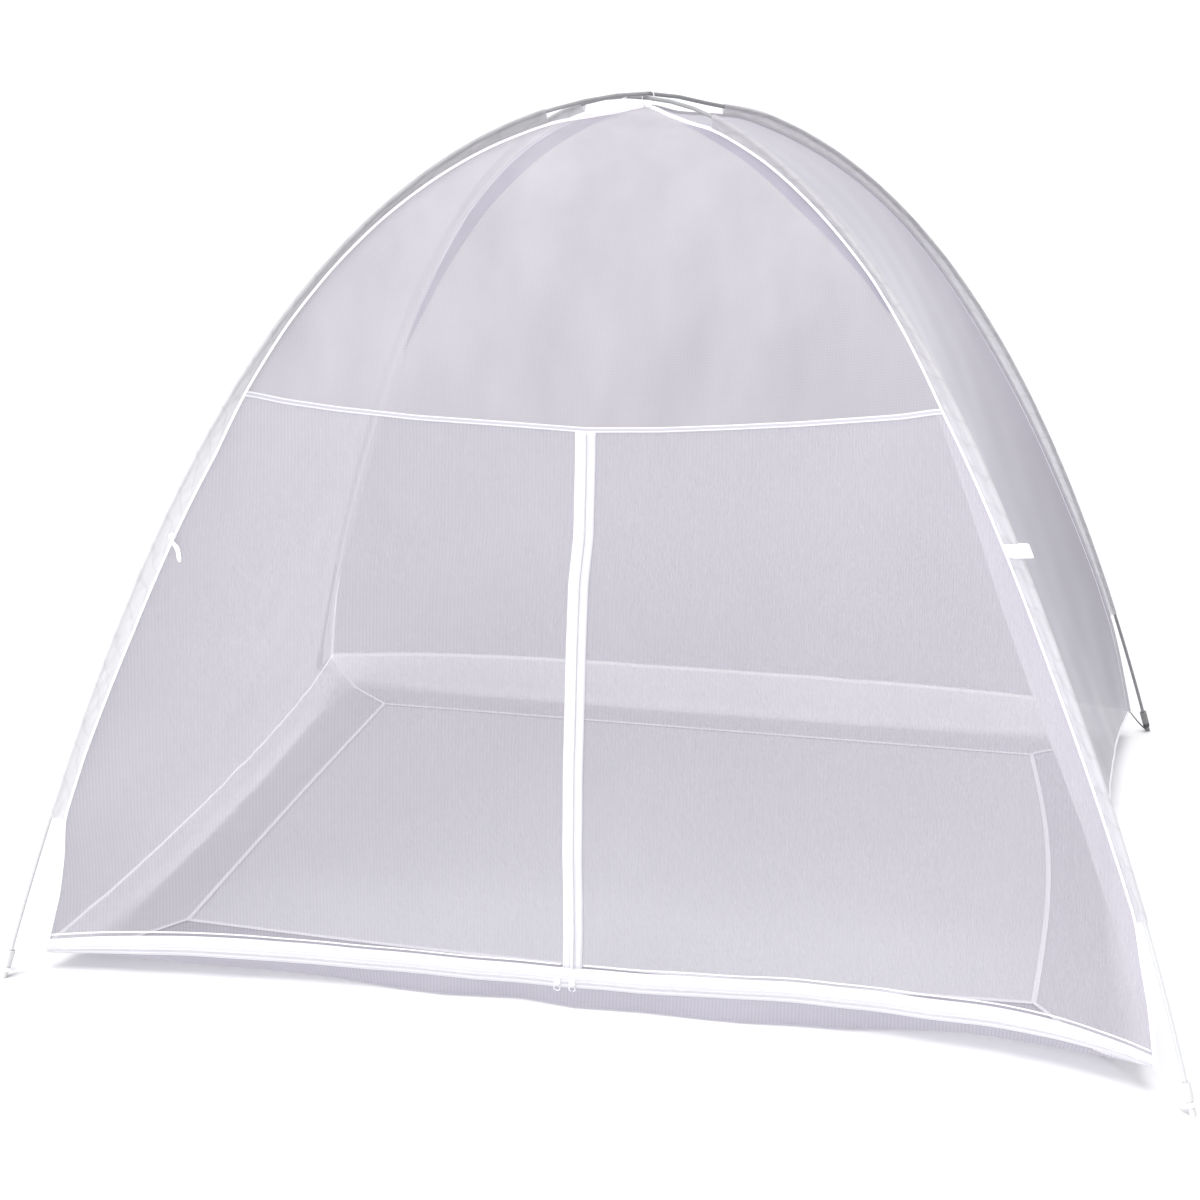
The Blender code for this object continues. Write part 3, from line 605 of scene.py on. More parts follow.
# Left, right and back walls: one panel each of fine warp-knitted polyester net,
# sewn into the seams and hollowed between them by its own tension.
WALLS = {
    # first leg, last leg, inward, depth of the hollow, depth at the hem, how
    # much deeper the hem is past the middle, lift of the hem, how flat the
    # hollow is across
    "left": ("back_left", "front_left", (1, 0), 0.110, 0.055, 0.0, 0.020, 2.5),
    "front": ("front_left", "front_right", (0, 1), 0.075, 0.070, 0.040, -0.010, 3.5),
    "right": ("front_right", "back_right", (-1, 0), 0.110, 0.052, 0.0, 0.025, 2.5),
    "back": ("back_right", "back_left", (0, -1), 0.100, 0.052, 0.0, 0.052, 3.5),
}
SLIP = 0.065            # how far the front's rows sag down its middle
# distance down the legs, share of the hollow's depth
HOLLOW = ((0.0, 0.0), (0.5, 0.2), (0.92, 0.53), (1.09, 0.73), (1.31, 0.91),
          (1.53, 1.0), (1.70, 0.93), (1.86, 0.72))
CORNER_DROP = 0.016     # the zipped hem hangs this much lower at its left corner
BAND = 0.043            # height of the zip band along that hem
BAND_TUCK = 0.024       # how much of it is tucked in at the corners
TAPE_ROW = 0.885
HEM_TAPE = 0.008        # height of the tape that binds the hem of the other walls
HEM_LAP = 0.0004        # how far a wall's net reaches behind it
# place across the front from its left; share of its rows' slip, lift of its hem
FRONT = (
    (0.00, 0.00, 0.000), (0.06, 0.27, 0.001), (0.14, 0.51, 0.004),
    (0.26, 0.75, 0.001), (0.40, 0.89, -0.002), (0.50, 1.00, -0.003),
    (0.60, 0.94, -0.002), (0.70, 0.80, 0.007), (0.80, 0.62, 0.005),
    (0.88, 0.42, 0.009), (0.94, 0.26, 0.007), (1.00, 0.00, 0.000),
)
SHARES = np.linspace(-0.1, 1.1, 1201)       # one place each thousandth across
FRONT_SLIP, FRONT_LIFT = (softened(np.interp(
    SHARES, [line[0] for line in FRONT], [line[column] for line in FRONT]), 61)
    for column in (1, 2))
HOLLOWS = {wall: softened(values[3] * np.interp(
    DENSE, [line[0] for line in HOLLOW] + [HEM_ROW],
    [line[1] for line in HOLLOW] + [values[4] / values[3]]), 121)
    for wall, values in WALLS.items()}


def chord(wall, row):
    """Straight distance between a wall's two seams."""
    return np.linalg.norm(seam_point(WALLS[wall][0], row)
                          - seam_point(WALLS[wall][1], row), axis=-1)


def wall_flat(wall, across, row):
    """Points on a wall; across runs 0 to 1 from its first leg to its last."""
    first, last, inward, _, _, skew, lift, flatness = WALLS[wall]
    across, row = np.broadcast_arrays(np.asarray(across, float), np.asarray(row, float))
    bulge = 1.0 - np.abs(2.0 * across - 1.0) ** flatness
    low = smooth(row, 1.30, HEM_ROW)
    hem_lift = 0.0
    if wall == "front":
        near = smooth(row, 1.80, HEM_ROW - BAND)
        hem_lift = np.interp(across, SHARES, FRONT_LIFT) * near
        tuck = BAND_TUCK * np.abs(2.0 * across - 1.0) ** 6 * near
        tuck = tuck * np.clip((HEM_ROW - row) / BAND, 0.0, 1.0)
        tuck = tuck + CORNER_DROP * (1.0 - across) ** 8 * smooth(row, 1.86, HEM_ROW)
        row = row + tuck + (SLIP * np.interp(across, SHARES, FRONT_SLIP)
                            * np.sin(math.pi * np.minimum(row / HEM_ROW, 1.0)))
    hollow = np.interp(row, DENSE, HOLLOWS[wall]) + skew * low * (2.0 * across - 1.0)
    share = across[..., None]
    point = seam_point(first, row) * (1.0 - share) + seam_point(last, row) * share
    point += np.array((*inward, 0.0)) * (hollow * bulge)[..., None]
    point[..., 2] += lift * bulge * low + hem_lift
    return point


def ripple(wall, across, row):
    """Soft folds of a wall, outward, still at its seams and at the peak."""
    width = chord(wall, row)
    along = (across - 0.5) * width
    held = smooth(np.minimum(across, 1.0 - across) * width, 0.0, 0.07)
    seed = 40 + list(WALLS).index(wall)
    folds = 0.0016 * waves(along * 2.2, row * 0.5, seed, 0.22)
    if wall == "front":
        upper = smooth(row, 0.25, 0.5) * (1.0 - smooth(row, 0.78, TAPE_ROW - 0.01))
        folds = folds * (0.5 + upper * 1.1)
        hem = smooth(row, 1.80, 1.93)
        folds = folds + hem * 0.0022 * waves(along, row * 0.4, 77, 0.13)
    return folds * held


def surface(wall, across, row, out=0.0):
    """Points a small distance outside a wall, its soft folds taken along."""
    across, row = np.broadcast_arrays(np.asarray(across, float), np.asarray(row, float))
    step = 0.002
    side = wall_flat(wall, across + step, row) - wall_flat(wall, across - step, row)
    down = wall_flat(wall, across, row + step) - wall_flat(wall, across, row - step)
    away = (out + ripple(wall, across, row))[..., None]
    return wall_flat(wall, across, row) + unit(np.cross(down, side)) * away


def net_material_of(name, low, high, pale_colour, deep_colour, through, inner=1.0,
                    foot=1.0, hung=1.0):
    """Net: threads round open cells; low and high are how much of what is behind they
    hide, inner how much paler its inner side is painted (painted light), foot how
    much darker it is painted low down (painted shade), hung how much closer it
    looks where it hangs than where it lies on the floor.
    """
    material, tree = new_material(name)
    flat = add_node(tree, "UVMap", uv_map="cloth")
    place = add_node(tree, "TexCoord").outputs["Object"]
    # cells of a bed net are 1.5 mm wide; the wales, its upright rows of loops,
    # are drawn 6 mm apart and the courses 4.5 mm, so that they show
    spot = add_node(tree, "SeparateXYZ", {0: add_node(
        tree, "VectorMath", {0: flat, 1: (2.0 * math.pi / 0.0060, 2.0 * math.pi / 0.0045,
                                          1.0)}, operation="MULTIPLY")})
    wale = add_node(tree, "Math", {0: spot.outputs["X"]}, operation="COSINE")
    course = add_node(tree, "Math", {0: spot.outputs["Y"]}, operation="COSINE")
    lattice = add_node(tree, "Math", {0: course, 1: 0.35, 2: wale},
                       operation="MULTIPLY_ADD")
    thread = add_node(tree, "MapRange", {"Value": lattice, "From Min": -1.2,
                                         "From Max": 1.2, "To Min": 0.0, "To Max": 1.0},
                      interpolation_type="SMOOTHSTEP")
    tone = mottled(tree, place, 5.0, 3.0, deep_colour, pale_colour)
    height = add_node(tree, "SeparateXYZ", {0: place})
    # painted shade: the outer side painted darker low down; painted light: the inner side
    # painted paler
    dull = add_node(tree, "MapRange", {"Value": height.outputs["Z"], "From Min": 0.1,
                                       "From Max": 1.0, "To Min": foot, "To Max": 1.0})
    side = add_node(tree, "NewGeometry").outputs["Backfacing"]
    painted_shading = add_node(tree, "Mix", {0: side, 2: dull, 3: inner})
    knit = add_node(tree, "VectorMath", {0: tone, "Scale": painted_shading}, operation="SCALE")
    raised = add_node(tree, "Bump", {"Height": thread, "Strength": 0.15,
                                     "Distance": 0.0004})
    lying = add_node(tree, "MapRange", {"Value": thread, "To Min": low, "To Max": high})
    closer = add_node(tree, "MapRange", {"Value": height.outputs["Z"], "From Min": 0.004,
                                         "From Max": 0.030, "To Min": 1.0, "To Max": hung})
    cover = add_node(tree, "Math", {0: lying, 1: closer}, operation="MULTIPLY")
    sheer_cloth(tree, {"Base Color": knit, "Roughness": 0.8, "Sheen Weight": 0.8,
                       "Sheen Roughness": 0.35, "Normal": raised}, {"Color": knit}, through,
                cover)
    return material


# the walls' net: inner side painted a tenth paler, outer side painted darker low down
net_material = net_material_of("warp-knitted polyester net, white", 0.76, 0.86, "#C6C3CD",
                               "#BCB9C3", 0.35, 1.10, 0.80)
# the right wall's copy: painted darker all over and much darker low down, painted shade, with
# its inner side painted much paler, painted light
right_net_material = net_material_of("warp-knitted polyester net, right wall", 0.78, 0.88,
                                     "#BEBBC5", "#B4B1BB", 0.30, 1.75, 0.64)
for wall_name in ("left", "right", "back"):
    rows = spaced(0.006, HEM_ROW - HEM_TAPE + HEM_LAP, 0.014)[:, None]
    across = np.linspace(0.0, 1.0, 91)[None, :]
    wall_points = surface(wall_name, across, rows)
    net = cloth("net_" + wall_name, wall_points,
                ((across - 0.5) * chord(wall_name, rows), rows),
                right_net_material if wall_name == "right" else net_material)
    hang(net, wall_points,
         "net", ["wall_" + wall_name])

# Front top panel: denser plain-woven polyester, one triangle from the peak to
# the horizontal tape, hanging in soft upright folds.
ZIP_HALF = 0.0165
BAND_TOP = HEM_ROW - BAND
COIL_UP = 0.0135        # the bottom zip's coil over the hem
COIL_ROW = HEM_ROW - COIL_UP
# the upright zip strays from the middle of the front: row, offset to the right
ZIP_LINE = ((0.0, 0.0), (0.885, -0.001), (1.09, 0.000), (1.18, -0.007),
            (1.30, -0.0095), (1.52, -0.010), (1.70, -0.0075), (1.92, -0.0055))
ZIP_STRAY = softened(np.interp(DENSE, *np.transpose(ZIP_LINE)), 61)
TAPE_OUT = 0.0015       # tapes lie this far out of the cloth under them
COIL_OUT = 0.0031


def zip_across(row):
    """Where the vertical zip crosses a row."""
    return 0.5 + np.interp(row, DENSE, ZIP_STRAY) / chord("front", row)


def front_across(share, row):
    """Share from the zip line, -1 to 1, into the front's 0 to 1."""
    middle = zip_across(row)
    return np.where(share < 0.0, middle * (1.0 + share), middle + (1.0 - middle) * share)


def front_grid(rows, shares, out=0.0, start=0.0):
    """Grid of points on the front, and its flat pattern, whose rows count from start."""
    rows = rows[:, None]
    across = front_across(shares[None, :], rows)
    points = surface("front", across, rows, out)
    return points, ((across - zip_across(rows)) * chord("front", rows), rows - start)


# plain weave of fine filament: nearly closed, smooth, lilac white
top_material, tree = new_material("polyester voile, dense, white")
flat = add_node(tree, "UVMap", uv_map="cloth")
place = add_node(tree, "TexCoord").outputs["Object"]
# threads drawn 5 mm apart, fifteen times the real spacing, and faint
weave = plain_weave(tree, flat, 0.0050)
# long upright streaks of paler and darker tone: painted light and shade of the soft folds
stretched = add_node(tree, "Mapping", {"Vector": place, "Scale": (9.0, 9.0, 2.0)})
tone = mottled(tree, stretched, 1.0, 2.0, "#B4B0B6", "#D8D5D9")
# painted shade: the panel is painted darker towards the right
spot = add_node(tree, "SeparateXYZ", {0: place})
tension_and_shade = add_node(tree, "MapRange", {"Value": spot.outputs["X"], "From Min": -0.10,
                                    "From Max": 0.55, "To Min": 0.99, "To Max": 0.85})
right_shaded_tone = add_node(tree, "VectorMath", {0: tone, "Scale": tension_and_shade}, operation="SCALE")
raised = add_node(tree, "Bump", {"Height": weave, "Strength": 0.12, "Distance": 0.0003})
cover = add_node(tree, "MapRange", {"Value": weave, "To Min": 0.65, "To Max": 0.72})
sheer_cloth(tree, {"Base Color": right_shaded_tone, "Roughness": 0.7, "Sheen Weight": 0.1,
                   "Normal": raised}, {"Color": right_shaded_tone}, 0.42, cover)

top_points, pattern = front_grid(spaced(0.006, TAPE_ROW, 0.010), np.linspace(-1.0, 1.0, 101))
top_cloth = cloth("top_cloth", top_points, pattern, top_material)
hang(top_cloth, top_points,
     "top_panel", ["front_top_panel"])

# Doors: two panels of the same fine net, either side of the vertical zip.  They
# are sewn to the tape above them, to the seams at the sides and to both zips.
# the doors' net is painted darker low down: painted shade
door_material = net_material_of("warp-knitted polyester net, door", 0.41, 0.48, "#CCC9D0",
                                "#C1BEC5", 0.40, foot=0.86)
DOOR_TUCK = 0.006       # how far a door reaches behind the bottom zip
for side_name, low, high in (("left", -1.0, 0.0), ("right", 0.0, 1.0)):
    door_points, pattern = front_grid(spaced(TAPE_ROW, BAND_TOP + DOOR_TUCK, 0.012),
                                      np.linspace(low, high, 61))
    door = cloth("door_net_" + side_name, door_points, pattern, door_material)
    hang(door, door_points,
         "net", ["door_" + side_name])

# Facings: the walls' seam allowances, left wide near the top and turned flat
# inside along two seams, where they show through the top panel as bluish bands:
# the doubled net, and painted shade, as the net is drawn darker and bluish.
facing_material = net_material_of("warp-knitted polyester net, laid double, painted shade", 0.88, 0.96,
                                  "#ABA8C6", "#A29FBD", 0.15)
# wall and the leg at its last end; distance down that leg, and width
FACINGS = (
    ("back", "back_left", ((0.14, 0.060), (0.45, 0.050), (0.80, 0.026), (1.05, 0.010))),
    ("front", "front_right", ((0.12, 0.020), (0.20, 0.032), (0.45, 0.030), (0.70, 0.008))),
)
for wall_name, leg_name, widths in FACINGS:
    rows = spaced(widths[0][0], widths[-1][0], 0.012)[:, None]
    width = np.interp(rows, *np.transpose(widths))
    offset = np.linspace(0.0, 1.0, 7)[None, :] * width
    facing_points = surface(wall_name, 1.0 - offset / chord(wall_name, rows), rows,
                            -TAPE_OUT)
    facing = cloth("facing_" + leg_name, facing_points, (offset, rows), facing_material)
    hang(facing, facing_points, "net", [])

# Horizontal tape: 10 mm woven polyester tape with a cord in each selvedge, sewn
# over the joint of top panel and doors.
edged_material, tree = new_material("woven polyester tape, corded selvedges")
# close ribs across; two corded selvedges bright, the middle between them painted greyer:
# painted shade
flat = add_node(tree, "UVMap", uv_map="cloth")
spot = add_node(tree, "SeparateXYZ", {0: flat})
off = add_node(tree, "Math", {0: spot.outputs["Y"]}, operation="ABSOLUTE")
# ribs drawn 1.6 mm apart, twice the real spacing
rib = add_node(tree, "TexWave", {"Vector": flat, "Scale": BANDS / 0.0016},
               bands_direction="X")
cord = add_node(tree, "MapRange", {"Value": off, "From Min": 0.0014, "From Max": 0.0032},
                interpolation_type="SMOOTHSTEP")
tone = add_node(tree, "Mix", {0: rib.outputs["Fac"], 6: "#D3D1D8", 7: "#E6E5E9"},
                data_type="RGBA")
edged = add_node(tree, "Mix", {0: cord, 6: "#B9B7C0", 7: tone}, data_type="RGBA")
relief = add_node(tree, "Math", {0: rib.outputs["Fac"], 1: 0.3, 2: cord},
                  operation="MULTIPLY_ADD")
raised = add_node(tree, "Bump", {"Height": relief, "Strength": 0.4, "Distance": 0.0005})
woven = add_node(tree, "BsdfPrincipled", {"Base Color": edged, "Roughness": 0.75,
                                          "Sheen Weight": 0.1, "Normal": raised})
add_node(tree, "OutputMaterial", {"Surface": woven})
TAPE_HALF = 0.005
tape_points, pattern = front_grid(spaced(TAPE_ROW - TAPE_HALF, TAPE_ROW + TAPE_HALF, 0.00125),
                                  np.linspace(-1.0, 1.0, 141), TAPE_OUT, TAPE_ROW)
front_tape = cloth("tape_front_woven", tape_points, pattern, edged_material, 0.001)
hang(front_tape, tape_points.transpose(1, 0, 2), "tape",
     ["front_tape"])


# Zips: 33 mm and 43 mm woven tapes, each with a nylon coil.  One climbs the
# middle of the front, the other runs along its hem, its coil low on the tape.
def strip_grid(rows, offsets, out):
    """Grid at set distances in metres from the zip line, and its flat pattern."""
    rows = rows[:, None]
    across = zip_across(rows) + offsets / chord("front", rows)
    return surface("front", across, rows, out), (rows, offsets)


def zip_tape_material_of(name, half):
    """Zip tape: close weave, a groove beside the coil and a row of lockstitch."""
    material, tree = new_material(name)
    flat = add_node(tree, "UVMap", uv_map="cloth")
    spot = add_node(tree, "SeparateXYZ", {0: flat})
    off = add_node(tree, "Math", {0: spot.outputs["Y"]}, operation="ABSOLUTE")
    # herringbone drawn 2 mm apart, twice the real spacing
    twill = add_node(tree, "TexWave", {"Vector": flat, "Scale": BANDS / 0.0020},
                     bands_direction="DIAGONAL")
    # stitches 3.5 mm long in a row 3 mm in from each edge
    row_in = add_node(tree, "Math", {0: off, 1: half - 0.003, 2: 0.0008},
                      operation="COMPARE")
    dash = add_node(tree, "Math", {0: spot.outputs["X"], 1: 0.0035}, operation="MODULO")
    dashed = add_node(tree, "Math", {0: dash, 1: 0.0026}, operation="LESS_THAN")
    stitch = add_node(tree, "Math", {0: row_in, 1: dashed}, operation="MULTIPLY")
    # painted shade: a darker line in the groove beside the coil
    groove = add_node(tree, "Math", {0: off, 1: 0.0052, 2: 0.0009}, operation="COMPARE")
    tone = add_node(tree, "Mix", {0: twill.outputs["Fac"], 6: "#D8D7DC", 7: "#E6E5E9"},
                    data_type="RGBA")
    shade_lined = add_node(tree, "Mix", {0: groove, 6: tone, 7: "#CFCDD5"}, data_type="RGBA")
    sewn = add_node(tree, "Mix", {0: stitch, 6: shade_lined, 7: "#CFCDD5"}, data_type="RGBA")
    relief = add_node(tree, "Math", {0: stitch, 1: 0.8, 2: twill.outputs["Fac"]},
                      operation="MULTIPLY_ADD")
    raised = add_node(tree, "Bump", {"Height": relief, "Strength": 0.3, "Distance": 0.0003})
    woven = add_node(tree, "BsdfPrincipled", {"Base Color": sewn, "Roughness": 0.7,
                                              "Sheen Weight": 0.1, "Normal": raised})
    add_node(tree, "OutputMaterial", {"Surface": woven})
    return material


# where the upright zip's tape and coil start, under the horizontal tape's middle,
# and how far over the bottom zip the coil ends
ZIP_START, COIL_START, COIL_END = 0.004, 0.008, 0.001
zip_points, pattern = strip_grid(spaced(TAPE_ROW + ZIP_START, BAND_TOP, 0.008),
                                 np.linspace(-ZIP_HALF, ZIP_HALF, 9), TAPE_OUT)
upright_tape = cloth("zip_strip_vertical", zip_points, pattern,
                     zip_tape_material_of("woven zip tape, upright", ZIP_HALF), 0.001)
hang(upright_tape, zip_points, "zip_tape",
     ["zip_tape_vertical"])

band_points, pattern = front_grid(spaced(BAND_TOP, HEM_ROW, 0.0042),
                                  np.linspace(-1.0, 1.0, 221), TAPE_OUT, COIL_ROW)
band_tape = cloth("zip_strip_bottom", band_points, pattern,
                  zip_tape_material_of("woven zip tape, along the hem", COIL_UP), 0.001)
hang(band_tape, band_points.transpose(1, 0, 2),
     "zip_tape", ["zip_tape_bottom"])

# the doors' lower edges show as a narrow bright line of overlocking just above
# the bottom zip, either side of the upright one
LOCK_TOP, LOCK_FOOT = 0.0080, 0.0056        # above the zip band
for side_name, low, high in (("left", -0.997, -0.021), ("right", 0.021, 0.997)):
    edge_points, pattern = front_grid(
        spaced(BAND_TOP - LOCK_TOP, BAND_TOP - LOCK_FOOT, 0.0008),
        np.linspace(low, high, 121), TAPE_OUT, BAND_TOP)
    sew(cloth("door_overlock_" + side_name, edge_points, pattern, tape_material, 0.0008),
        "tape")

coil_material, tree = new_material("nylon monofilament coil, white")
# drawn and heat-set monofilament: smooth, half-clear and a little glossy
place = add_node(tree, "TexCoord").outputs["Object"]
tone = mottled(tree, place, 90.0, 2.0, "#DEDDE4", "#F2F1F5")
plastic = add_node(tree, "BsdfPrincipled", {"Base Color": tone, "Roughness": 0.35,
                                            "IOR": 1.53})
add_node(tree, "OutputMaterial", {"Surface": plastic})
# real coils have a turn each 1.2 mm; drawn 2.4 mm apart, so that they show
TURN = 0.0024
TURN_LONG, TURN_WIDE, TURN_HIGH = TURN * 0.68, 0.0050, 0.0016


def add_coil(name, line, out, node_name):
    """Turns of the coil as small bars laid across a line."""
    run = unit(np.gradient(line, axis=0))
    across = unit(np.cross(out, run))
    lift = np.cross(run, across)
    coil = bmesh.new()
    for place, ahead_by, aside, up_by in zip(line, run, across, lift):
        turn = Matrix((ahead_by * TURN_LONG, aside * TURN_WIDE, up_by * TURN_HIGH)).transposed()
        bmesh.ops.create_cube(coil, size=1.0,
                              matrix=Matrix.Translation(place) @ turn.to_4x4())
    bmesh.ops.recalc_face_normals(coil, faces=coil.faces)
    sew(finished(name, coil, coil_material), "zip_coil", node_name)


rows = spaced(TAPE_ROW + COIL_START, BAND_TOP - COIL_END, TURN)
line = surface("front", zip_across(rows), rows, COIL_OUT)
add_coil("zip_teeth_vertical", line,
         surface("front", zip_across(rows), rows, COIL_OUT + 0.01) - line,
         "zip_coil_vertical")
BAND_RUN = 1.93         # length of the bottom zip
shares = np.linspace(-0.998, 0.998, int(BAND_RUN / TURN))
across = front_across(shares, np.full(shares.shape, COIL_ROW))
line = surface("front", across, COIL_ROW, COIL_OUT)
add_coil("zip_teeth_bottom", line,
         surface("front", across, COIL_ROW, COIL_OUT + 0.01) - line, "zip_coil_bottom")

# Sliders: two die-cast zinc bodies on the bottom zip, each with a ring pull.
# They keep the frame's own shape.
zinc_material, tree = new_material("die-cast zinc, enamelled white")
# stove enamel, tumbled: smooth, with soft scuffs
place = add_node(tree, "TexCoord").outputs["Object"]
scuff = add_node(tree, "TexNoise", {"Vector": place, "Scale": 700.0, "Detail": 4.0})
dull = add_node(tree, "MapRange", {"Value": scuff.outputs["Fac"], "To Min": 0.22,
                                   "To Max": 0.48})
tone = add_node(tree, "Mix", {0: scuff.outputs["Fac"], 6: "#D2D2D6", 7: "#F8F8FA"},
                data_type="RGBA")
enamel = add_node(tree, "BsdfPrincipled", {"Base Color": tone, "Roughness": dull,
                                           "IOR": 1.52})
add_node(tree, "OutputMaterial", {"Surface": enamel})
for side_name in ("left", "right"):
    dress("slider_" + side_name, zinc_material)
    dress("ring_pull_" + side_name, zinc_material)

# Bottom bindings: an 8 mm woven polyester tape, thin and white, folded over the
# hem of the other three walls and stitched through.
for wall_name in ("left", "right", "back"):
    across = np.linspace(0.002, 0.998, 121)[None, :]
    rows = spaced(HEM_ROW - HEM_TAPE, HEM_ROW, 0.002)[:, None]
    binding = cloth("hem_tape_" + wall_name, surface(wall_name, across, rows),
                    ((across - 0.5) * chord(wall_name, rows), rows - HEM_ROW),
                    binding_material)
    sew(binding, "binding", "binding_" + wall_name)

# Floor flange: four strips of net sewn to the hem.  They drop to the floor,
# turn inward and lie on it, mitred at the corners, with a narrow turned hem.
FLANGE_CORNERS = {
    "front_left": (-0.766, -0.507), "front_right": (0.757, -0.484),
    "back_right": (0.741, 0.567), "back_left": (-0.757, 0.568),
}
FLANGE_BOW = {"left": 0.004, "front": 0.024, "right": 0.030, "back": 0.0}
LIES = 0.0006           # height of cloth that lies on the floor
FLANGE_LOW = 0.0009     # the flange starts this far below the hem
FLOOR_HEM, HEM_IN, HEM_OVER = 0.0090, 0.003, 0.0014     # width, place, height over it
MITRE, MITRE_OVER = 0.0075, 0.0022
# where the front strip turns on the floor: along, across
FRONT_FOLD = (
    (-0.960, -0.700), (-0.879, -0.677), (-0.790, -0.650), (-0.671, -0.656),
    (-0.565, -0.650), (-0.433, -0.654), (-0.315, -0.667), (-0.227, -0.670),
    (-0.096, -0.652), (0.003, -0.666), (0.116, -0.657), (0.225, -0.658),
    (0.289, -0.656), (0.384, -0.645), (0.461, -0.640), (0.546, -0.621),
    (0.646, -0.600), (0.710, -0.600), (0.784, -0.603), (0.847, -0.608),
    (0.909, -0.632), (0.960, -0.655),
)
# painted light: the flange inside the canopy, where it lies in shade, is painted much paler
# than the same net elsewhere
flange_material = net_material_of("warp-knitted polyester net, flange", 0.56, 0.62,
                                  "#EFEDF3", "#E7E5EB", 0.05, hung=1.25)
front_flange_material = net_material_of("warp-knitted polyester net, front flange", 0.51,
                                        0.61, "#CECBD5", "#C5C2CC", 0.40)


def flange_grid(wall, across, shares):
    """Points of a flange; shares run 0 to 1 from the hem to the inner edge."""
    first, last, inward = WALLS[wall][:3]
    out = TAPE_OUT if wall == "front" else 0.0
    start = surface(wall, across, HEM_ROW + FLANGE_LOW, out)[None]
    ends = [np.array((*FLANGE_CORNERS[leg], LIES)) for leg in (first, last)]
    inner = ends[0] + (ends[1] - ends[0]) * across[:, None]
    inner -= np.array((*inward, 0.0)) * (FLANGE_BOW[wall]
                                         * np.sin(math.pi * across))[:, None]
    inner = inner[None]
    tension_and_shade = (np.abs(2.0 * across - 1.0) ** 4)[None, :, None]
    floor_line = start * (1.0, 1.0, 0.0) + (0.0, 0.0, LIES)
    heel = floor_line + (inner - floor_line) * (0.02 + 0.40 * tension_and_shade)
    if wall == "front":
        fold = floor_line.copy()
        fold[0, :, 1] = np.interp(fold[0, :, 0], *np.transpose(FRONT_FOLD))
        heel = fold * (1.0 - tension_and_shade) + heel * tension_and_shade
    turn = heel + (inner - heel) * 0.14
    share = shares[:, None, None]
    bend = np.clip(share / 0.4, 0.0, 1.0)
    curve = (start * (1.0 - bend) ** 3 + 3.0 * heel * bend * (1.0 - bend) + turn * bend ** 3)
    lying = turn + (inner - turn) * np.clip((share - 0.4) / 0.6, 0.0, 1.0)
    points = np.where(share < 0.4, curve, lying)
    wave = np.maximum(waves(points[..., 0], points[..., 1], 91, 0.16) * 0.0022 + 0.0006, 0.0)
    points[..., 2] += wave * smooth(shares, 0.3, 0.5)[:, None] * (1.0 - smooth(
        shares, 0.9, 1.0))[:, None]
    return points


FLANGE_SHARES = np.concatenate((np.linspace(0.0, 0.4, 15), np.linspace(0.4, 1.0, 19)[1:]))
for wall_name in WALLS:
    across = np.linspace(0.0, 1.0, 121)
    floor_points = flange_grid(wall_name, across, FLANGE_SHARES)
    down = run_lengths(floor_points, 0)
    middle = (WALLS[wall_name][2][0] == 0)
    along = floor_points[..., 0] if middle else floor_points[..., 1]
    floor_net = cloth("floor_net_" + wall_name, floor_points, (along, down),
                      front_flange_material if wall_name == "front" else flange_material)
    inner = floor_points[-1] + (0.0, 0.0, HEM_OVER)
    inner += np.array((*WALLS[wall_name][2], 0.0)) * -HEM_IN
    edge = strip("floor_hem_" + wall_name, inner, FLOOR_HEM, UP, tape_material)
    sew(edge, "flange")
    hang(floor_net, floor_points.transpose(1, 0, 2), "flange", ["flange_" + wall_name])

for leg_name in LEGS:
    wall_name = next(wall for wall in WALLS if WALLS[wall][0] == leg_name)
    line = flange_grid(wall_name, np.array((0.0, 0.001)), FLANGE_SHARES)[:, 0]
    line = line + (0.0, 0.0, MITRE_OVER)
    sew(strip("mitre_" + leg_name, line, MITRE, UP, tape_material), "flange")

# Corner straps: 7 mm woven tape from each corner of the net, looped round the
# tip of the foot under its barrel.  The two at the back are painted dark: painted
# shade.
FOOT_ROW = 1.952
STRAP_T = 0.0012
STRAP_HALF = 0.0035
STRAP_UP = 0.0165       # middle of the loop, up the foot
STRAP_R = 0.0052 + 0.0005 + STRAP_T / 2.0


def strap_path(leg):
    """Centre line of a strap and the foot's direction up."""
    base = leg_axes(leg, LEG_ARC)[0] * (1.0, 1.0, 0.0)
    up = leg_axes(leg, FOOT_ROW)[0] - base
    up /= np.linalg.norm(up)
    corner = seam_point(leg, 1.950)
    corner = corner + (base - corner) / np.linalg.norm(base - corner) * 0.0030
    away = corner - base
    high = away @ up
    away = away - up * high
    reach = np.linalg.norm(away)
    away = away / reach
    side = np.cross(up, away)
    path = []
    for share in np.linspace(0.0, 0.75, 10):
        sag = 0.004 * math.sin(math.pi * share)
        raise_by = high + (STRAP_UP - high) * min(1.0, share / 0.75)
        path.append(base + away * (reach * (1.0 - share)) + side * (STRAP_R * share)
                    + up * raise_by - np.array((0.0, 0.0, sag)))
    for step in range(29):
        angle = math.radians(90.0 + 10.75 * step)
        path.append(base + up * STRAP_UP
                    + (away * math.cos(angle) + side * math.sin(angle)) * STRAP_R)
    return np.array(path), up


def ribbon(name, path, widths, material, thickness):
    """A flat tape along a path; widths gives its half width at each point."""
    sides = np.linspace(-1.0, 1.0, 5)
    points = np.stack([path + widths * side for side in sides], 1)
    length = run_lengths(points, 0)[:, 2]
    half = np.linalg.norm(widths, axis=1)
    return cloth(name, points, (length[:, None], half[:, None] * sides), material,
                 thickness), points


